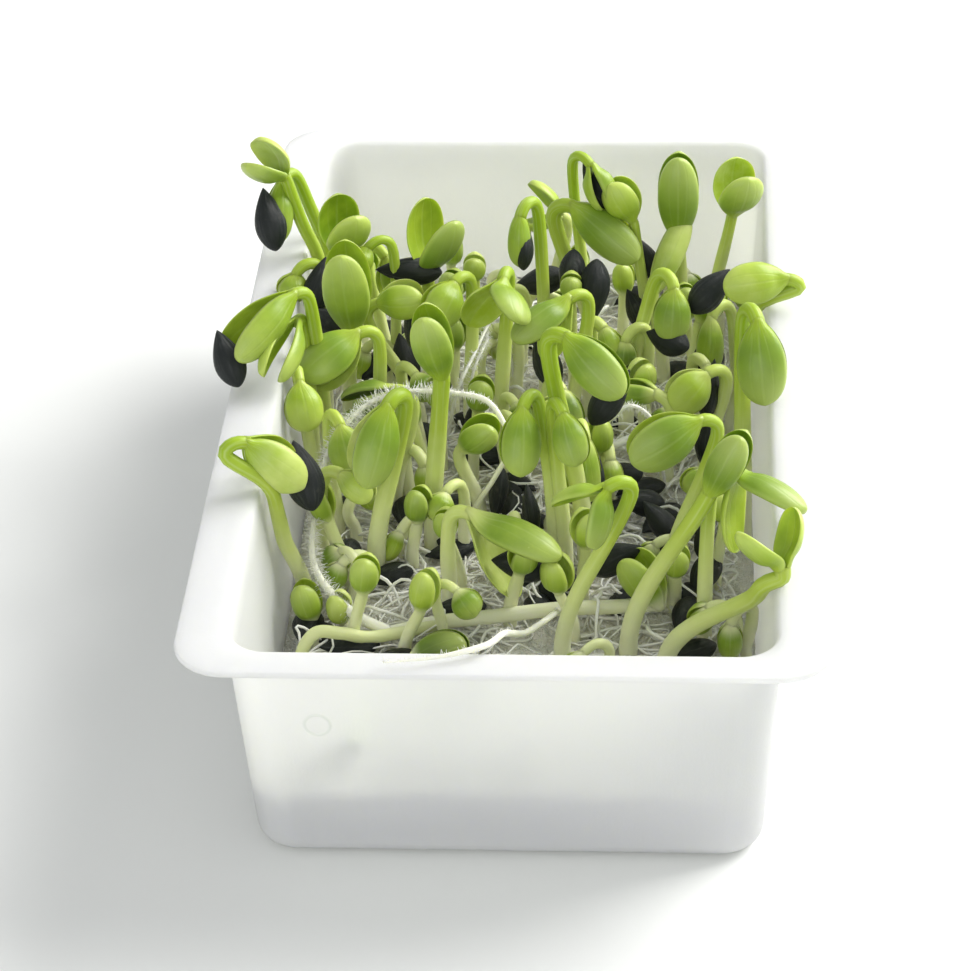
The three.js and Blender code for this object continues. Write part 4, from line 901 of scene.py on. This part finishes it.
def rounded_ring(half_x, half_y, radius, z, steps=12):
    """Rounded rectangle: quarter circles about the four inset corners."""
    angle = np.radians(90 * (np.arange(4)[:, None] + np.linspace(0, 1, steps + 1)))
    sign_x, sign_y = vec(1, -1, -1, 1)[:, None], vec(1, 1, -1, -1)[:, None]
    x = sign_x * (half_x - radius) + radius * np.cos(angle)
    y = sign_y * (half_y - radius) + radius * np.sin(angle)
    return np.stack([x, y, np.full(x.shape, z)], -1).reshape(-1, 3)


def dress_tub():
    """The tub as one profile carried round the rounded rectangle: out along the underside, up the
    outside, out along the flange and back, down the inside to the floor."""
    rings = []
    under, foot = TRAY_H - FLANGE_T, np.radians(FOOT_DEGREES)

    def wall(z, out):
        half_x, half_y = inner_half(MOUTH_X, z) + out, inner_half(MOUTH_Y, z) + out
        rings.append(rounded_ring(half_x, half_y, MOUTH_R + out, z))

    def flange(z, inset):
        half_x, half_y = MOUTH_X + FLANGE_X - inset, MOUTH_Y + FLANGE_Y - inset
        rings.append(rounded_ring(half_x, half_y, FLANGE_R - inset, z))

    for a in foot:
        wall(FOOT_ROUND * (1 - math.cos(a)), WALL - FOOT_ROUND * (1 - math.sin(a)))
    for z in WALL_LEVELS:
        wall(z, WALL)
    for drop, out in WALL_FLARE:
        wall(under - drop, WALL + out)
    for up, inset in FLANGE_EDGE:
        flange(under + up, inset)
    for drop, inset in reversed(FLANGE_EDGE):
        flange(TRAY_H - drop, inset)
    for drop, out in MOUTH_FLARE:
        wall(TRAY_H - drop, out)
    for z in reversed(WALL_LEVELS):
        wall(z, 0)
    for a in reversed(foot):
        wall(WALL + FOOT_ROUND * (1 - math.cos(a)), -FOOT_ROUND * (1 - math.sin(a)))
    surface = Surface()
    surface.loft(np.array(rings), start=vec(0, 0, 0), end=vec(0, 0, WALL))
    settle(surface.make("tub", TUB), "tray", "tray")


def mat_height(x, y):
    """Height of the mat: two slow waves and a finer crossed ripple."""
    broad = 0.9 * np.sin(x / 9 + 1) * np.cos(y / 13)
    return MAT_TOP + broad + 0.5 * np.sin(x / 4.1) * np.sin(y / 5.3 + 2)


def fine_height(x, y):
    """The mat's height with smaller lumps added: a ripple bent by slow sines, and a finer one."""
    lumps = 0.35 * np.sin(x * 1.1 + 2 * np.sin(y * 0.31)) * np.sin(y * 0.9 + 2 * np.sin(x * 0.27))
    return mat_height(x, y) + lumps + 0.15 * np.sin(x * 2.9) * np.sin(y * 2.3 + x)


def dress_mat():
    """The root mat: its top is a height over the tub's plan, its sides and ends follow the tub, and
    each section across it is one ring."""
    floor = WALL + MAT_FLOOR_GAP
    reach = inner_half(MOUTH_Y, 0) - MAT_GAP - WALL
    y = np.linspace(-reach, reach, MAT_STEPS_Y)
    top_y = y * (inner_half(MOUTH_Y, MAT_TOP) - MAT_GAP) / reach
    corner = np.maximum(0, np.abs(y) - (reach - MOUTH_R)) / MOUTH_R
    pull = MOUTH_R * (1 - np.sqrt(1 - corner**2)) * MAT_CORNER
    low = inner_half(MOUTH_X, 0) - MAT_GAP - pull
    high = inner_half(MOUTH_X, MAT_TOP) - MAT_GAP - pull
    s = np.linspace(1, -1, MAT_STEPS_X)
    x = high[:, None] * s
    z = fine_height(x, top_y[:, None]) - MAT_DROP * np.abs(s) ** MAT_DROP_POWER
    top = np.stack(np.broadcast_arrays(x, top_y[:, None], z), -1)

    def line(px, pz):
        return np.stack([px, y, pz], -1)[:, None]

    lift = floor + corner * FOOT_ROUND * MAT_LIFT
    shoulder = np.full(len(y), floor + FOOT_ROUND)
    underside = [line(-low + FOOT_ROUND, lift), line(low - FOOT_ROUND, lift)]
    rings = np.concatenate([*underside, line(low, shoulder), top, line(-low, shoulder)], 1)
    surface = Surface()
    surface.loft(rings)
    settle(surface.make("root_pad", ROOTS), "root_mat", "root_mat")


def turned_back(places, limit):
    """What runs past a limit goes back by as much as it was over, as a root does at the wall."""
    return np.sign(places) * np.minimum(np.abs(places), 2 * limit - np.abs(places))


def dress_loose_roots():
    """Loose white roots that wander over the mat: the heading of each turns evenly and sways by a
    sine, and its height is a hump over the mat. Four more arch up. Gives the arches' lines."""
    surface = Surface()
    point = np.arange(LOOSE_POINTS)
    hump = np.sin(np.linspace(0.1, np.pi - 0.1, LOOSE_POINTS)) ** 1.5
    taper = np.sin(np.linspace(0.25, np.pi - 0.25, LOOSE_POINTS)) ** 0.5
    for _ in range(LOOSE_ROOTS):
        x, y = random.uniform(-LOOSE_X, LOOSE_X), random.uniform(-LOOSE_Y, LOOSE_Y)
        heading, bend = random.uniform(0, 2 * np.pi), random.uniform(-LOOSE_BEND, LOOSE_BEND)
        step = random.uniform(*LOOSE_STEP)
        a = heading + bend * point + LOOSE_SWAY * np.sin(point * random.uniform(*LOOSE_SWAYS))
        px = turned_back(x + np.cumsum(np.cos(a)) * step, LOOSE_LIMIT_X)
        py = turned_back(y + np.cumsum(np.sin(a)) * step, LOOSE_LIMIT_Y)
        highest = HIGH_HUMP if random.random() < HIGH_ROOTS else LOW_HUMP
        z = mat_height(px, py) + LOOSE_LIFT + random.uniform(0.1, highest) * hump
        path = np.stack([px, py, z], -1)
        if np.linalg.norm(np.diff(path, axis=0), axis=1).min() <= LOOSE_LEAST_STEP:
            continue
        surface.loft(tube_rings(path, random.uniform(*LOOSE_R) * taper, 5))
    arches = [through(points, 8) for points in ROOT_ARCHES]
    for line, thick in zip(arches, ROOT_ARCH_R):
        surface.loft(tube_rings(line, thick * np.linspace(1, 0.7, len(line)), 8))
    settle(surface.make("loose_roots", STRANDS), "root_mat")
    return arches


def dress_root_hairs(root, rim, arches):
    """Fine hairs round the bare roots: short three-sided tubes that stand out of a root with some
    scatter, droop by a square, and get shorter past the share of the root that is full."""
    surface = Surface()
    hairy = [(root, *ROOT_HAIRS), (rim, *RIM_HAIRS)] + [(line, *ARCH_HAIRS) for line in arches]
    for line, count, longest, full in hairy:
        sides, across = carried_frames(line)
        for _ in range(count):
            i = random.integers(4, len(line) - 1)
            if line[i][2] < MAT_TOP + 2:
                continue
            a = random.uniform(0, 2 * np.pi)
            out = sides[i] * math.cos(a) + across[i] * math.sin(a)
            out = unit(out + random.normal(0, HAIR_SCATTER, 3))
            if line is rim and (out[2] < -0.1 or line[i][2] < WALL_LEVELS[-1]):
                continue
            fade = np.clip(1 + HAIR_LEAST - (i / len(line) - full) * HAIR_FADES, 0, 1)
            if fade < HAIR_LEAST:
                continue
            tip = longest * fade * random.uniform(*HAIR_SHARE)
            foot = line[i] + (line[i + 1] - line[i]) * random.random()
            path = foot + out * np.linspace(HAIR_START, tip, len(HAIR_R))[:, None]
            path[:, 2] += random.uniform(*HAIR_DROOP) * np.linspace(0, 1, len(HAIR_R)) ** 2
            surface.loft(tube_rings(path, HAIR_R, 3))
    settle(surface.make("root_hairs", STRANDS), "root_mat")


dress_sprouts()
root_line, rim_line = dress_fallen()
dress_hulls()
dress_small_shoots()
dress_tub()
dress_mat()
arch_lines = dress_loose_roots()
dress_root_hairs(root_line, rim_line, arch_lines)


def placed(thing, right, up, back, at):
    """Stands an object at a place, with its own axes along three directions."""
    matrix = Matrix.Identity(4)
    for column, axis in enumerate((right, up, back, at)):
        for row in range(3):
            matrix[row][column] = axis[row]
    thing.matrix_world = matrix
    bpy.context.scene.collection.objects.link(thing)


def make_camera():
    """The photograph's camera, fitted to the tray's rim: place, heading, tilt, roll and lens."""
    yaw, pitch, roll = (math.radians(a) for a in (CAMERA_HEADING, CAMERA_TILT, CAMERA_ROLL))
    forward = vec(math.sin(yaw) * math.cos(pitch), math.cos(yaw) * math.cos(pitch), -math.sin(pitch))
    level = vec(math.cos(yaw), -math.sin(yaw), 0)
    lifted = np.cross(level, forward)
    right = level * math.cos(roll) + lifted * math.sin(roll)
    up = lifted * math.cos(roll) - level * math.sin(roll)
    data = bpy.data.cameras.new("photo_camera")
    data.lens, data.sensor_width = FOCAL_PIXELS * SENSOR / PHOTO_LONGER, SENSOR
    data.clip_start, data.clip_end = 0.05, 20
    camera = bpy.data.objects.new("photo_camera", data)
    placed(camera, right, up, -forward, vec(*CAMERA_AT) * MM + SHIFT)
    bpy.context.scene.camera = camera


def make_stage():
    """A wide pale floor that the tray stands on, a soft white surround, one broad light from the
    right and behind and a weaker one from the left."""
    h = FLOOR_HALF
    mesh = bpy.data.meshes.new("floor")
    mesh.from_pydata([(-h, -h, 0), (h, -h, 0), (h, h, 0), (-h, h, 0)], [], [(0, 1, 2, 3)])
    floor = bpy.data.objects.new("floor", mesh)
    look = Look("pale_floor", Roughness=0.7)
    pale = look.mix(look.noise(3.0, 2.0), (0.80, 0.81, 0.80), (0.84, 0.845, 0.84))
    mesh.materials.append(look.feed(Base_Color=pale))
    bpy.context.scene.collection.objects.link(floor)
    world = bpy.data.worlds.new("surround")
    world.use_nodes = True
    colour, power = world.node_tree.nodes["Background"].inputs[:2]
    colour.default_value, power.default_value = SURROUND, SURROUND_POWER
    bpy.context.scene.world = world
    for name, at, size, watts, colour in LIGHTS:
        data = bpy.data.lights.new(name, "AREA")
        data.size, data.energy, data.color = size, watts, colour
        aim = unit(vec(*LIGHTS_AIM) - vec(*at))
        side = unit(np.cross(aim, UP))
        placed(bpy.data.objects.new(name, data), side, np.cross(side, aim), -aim, at)
    bpy.context.scene.view_settings.view_transform = "Standard"


make_camera()
make_stage()
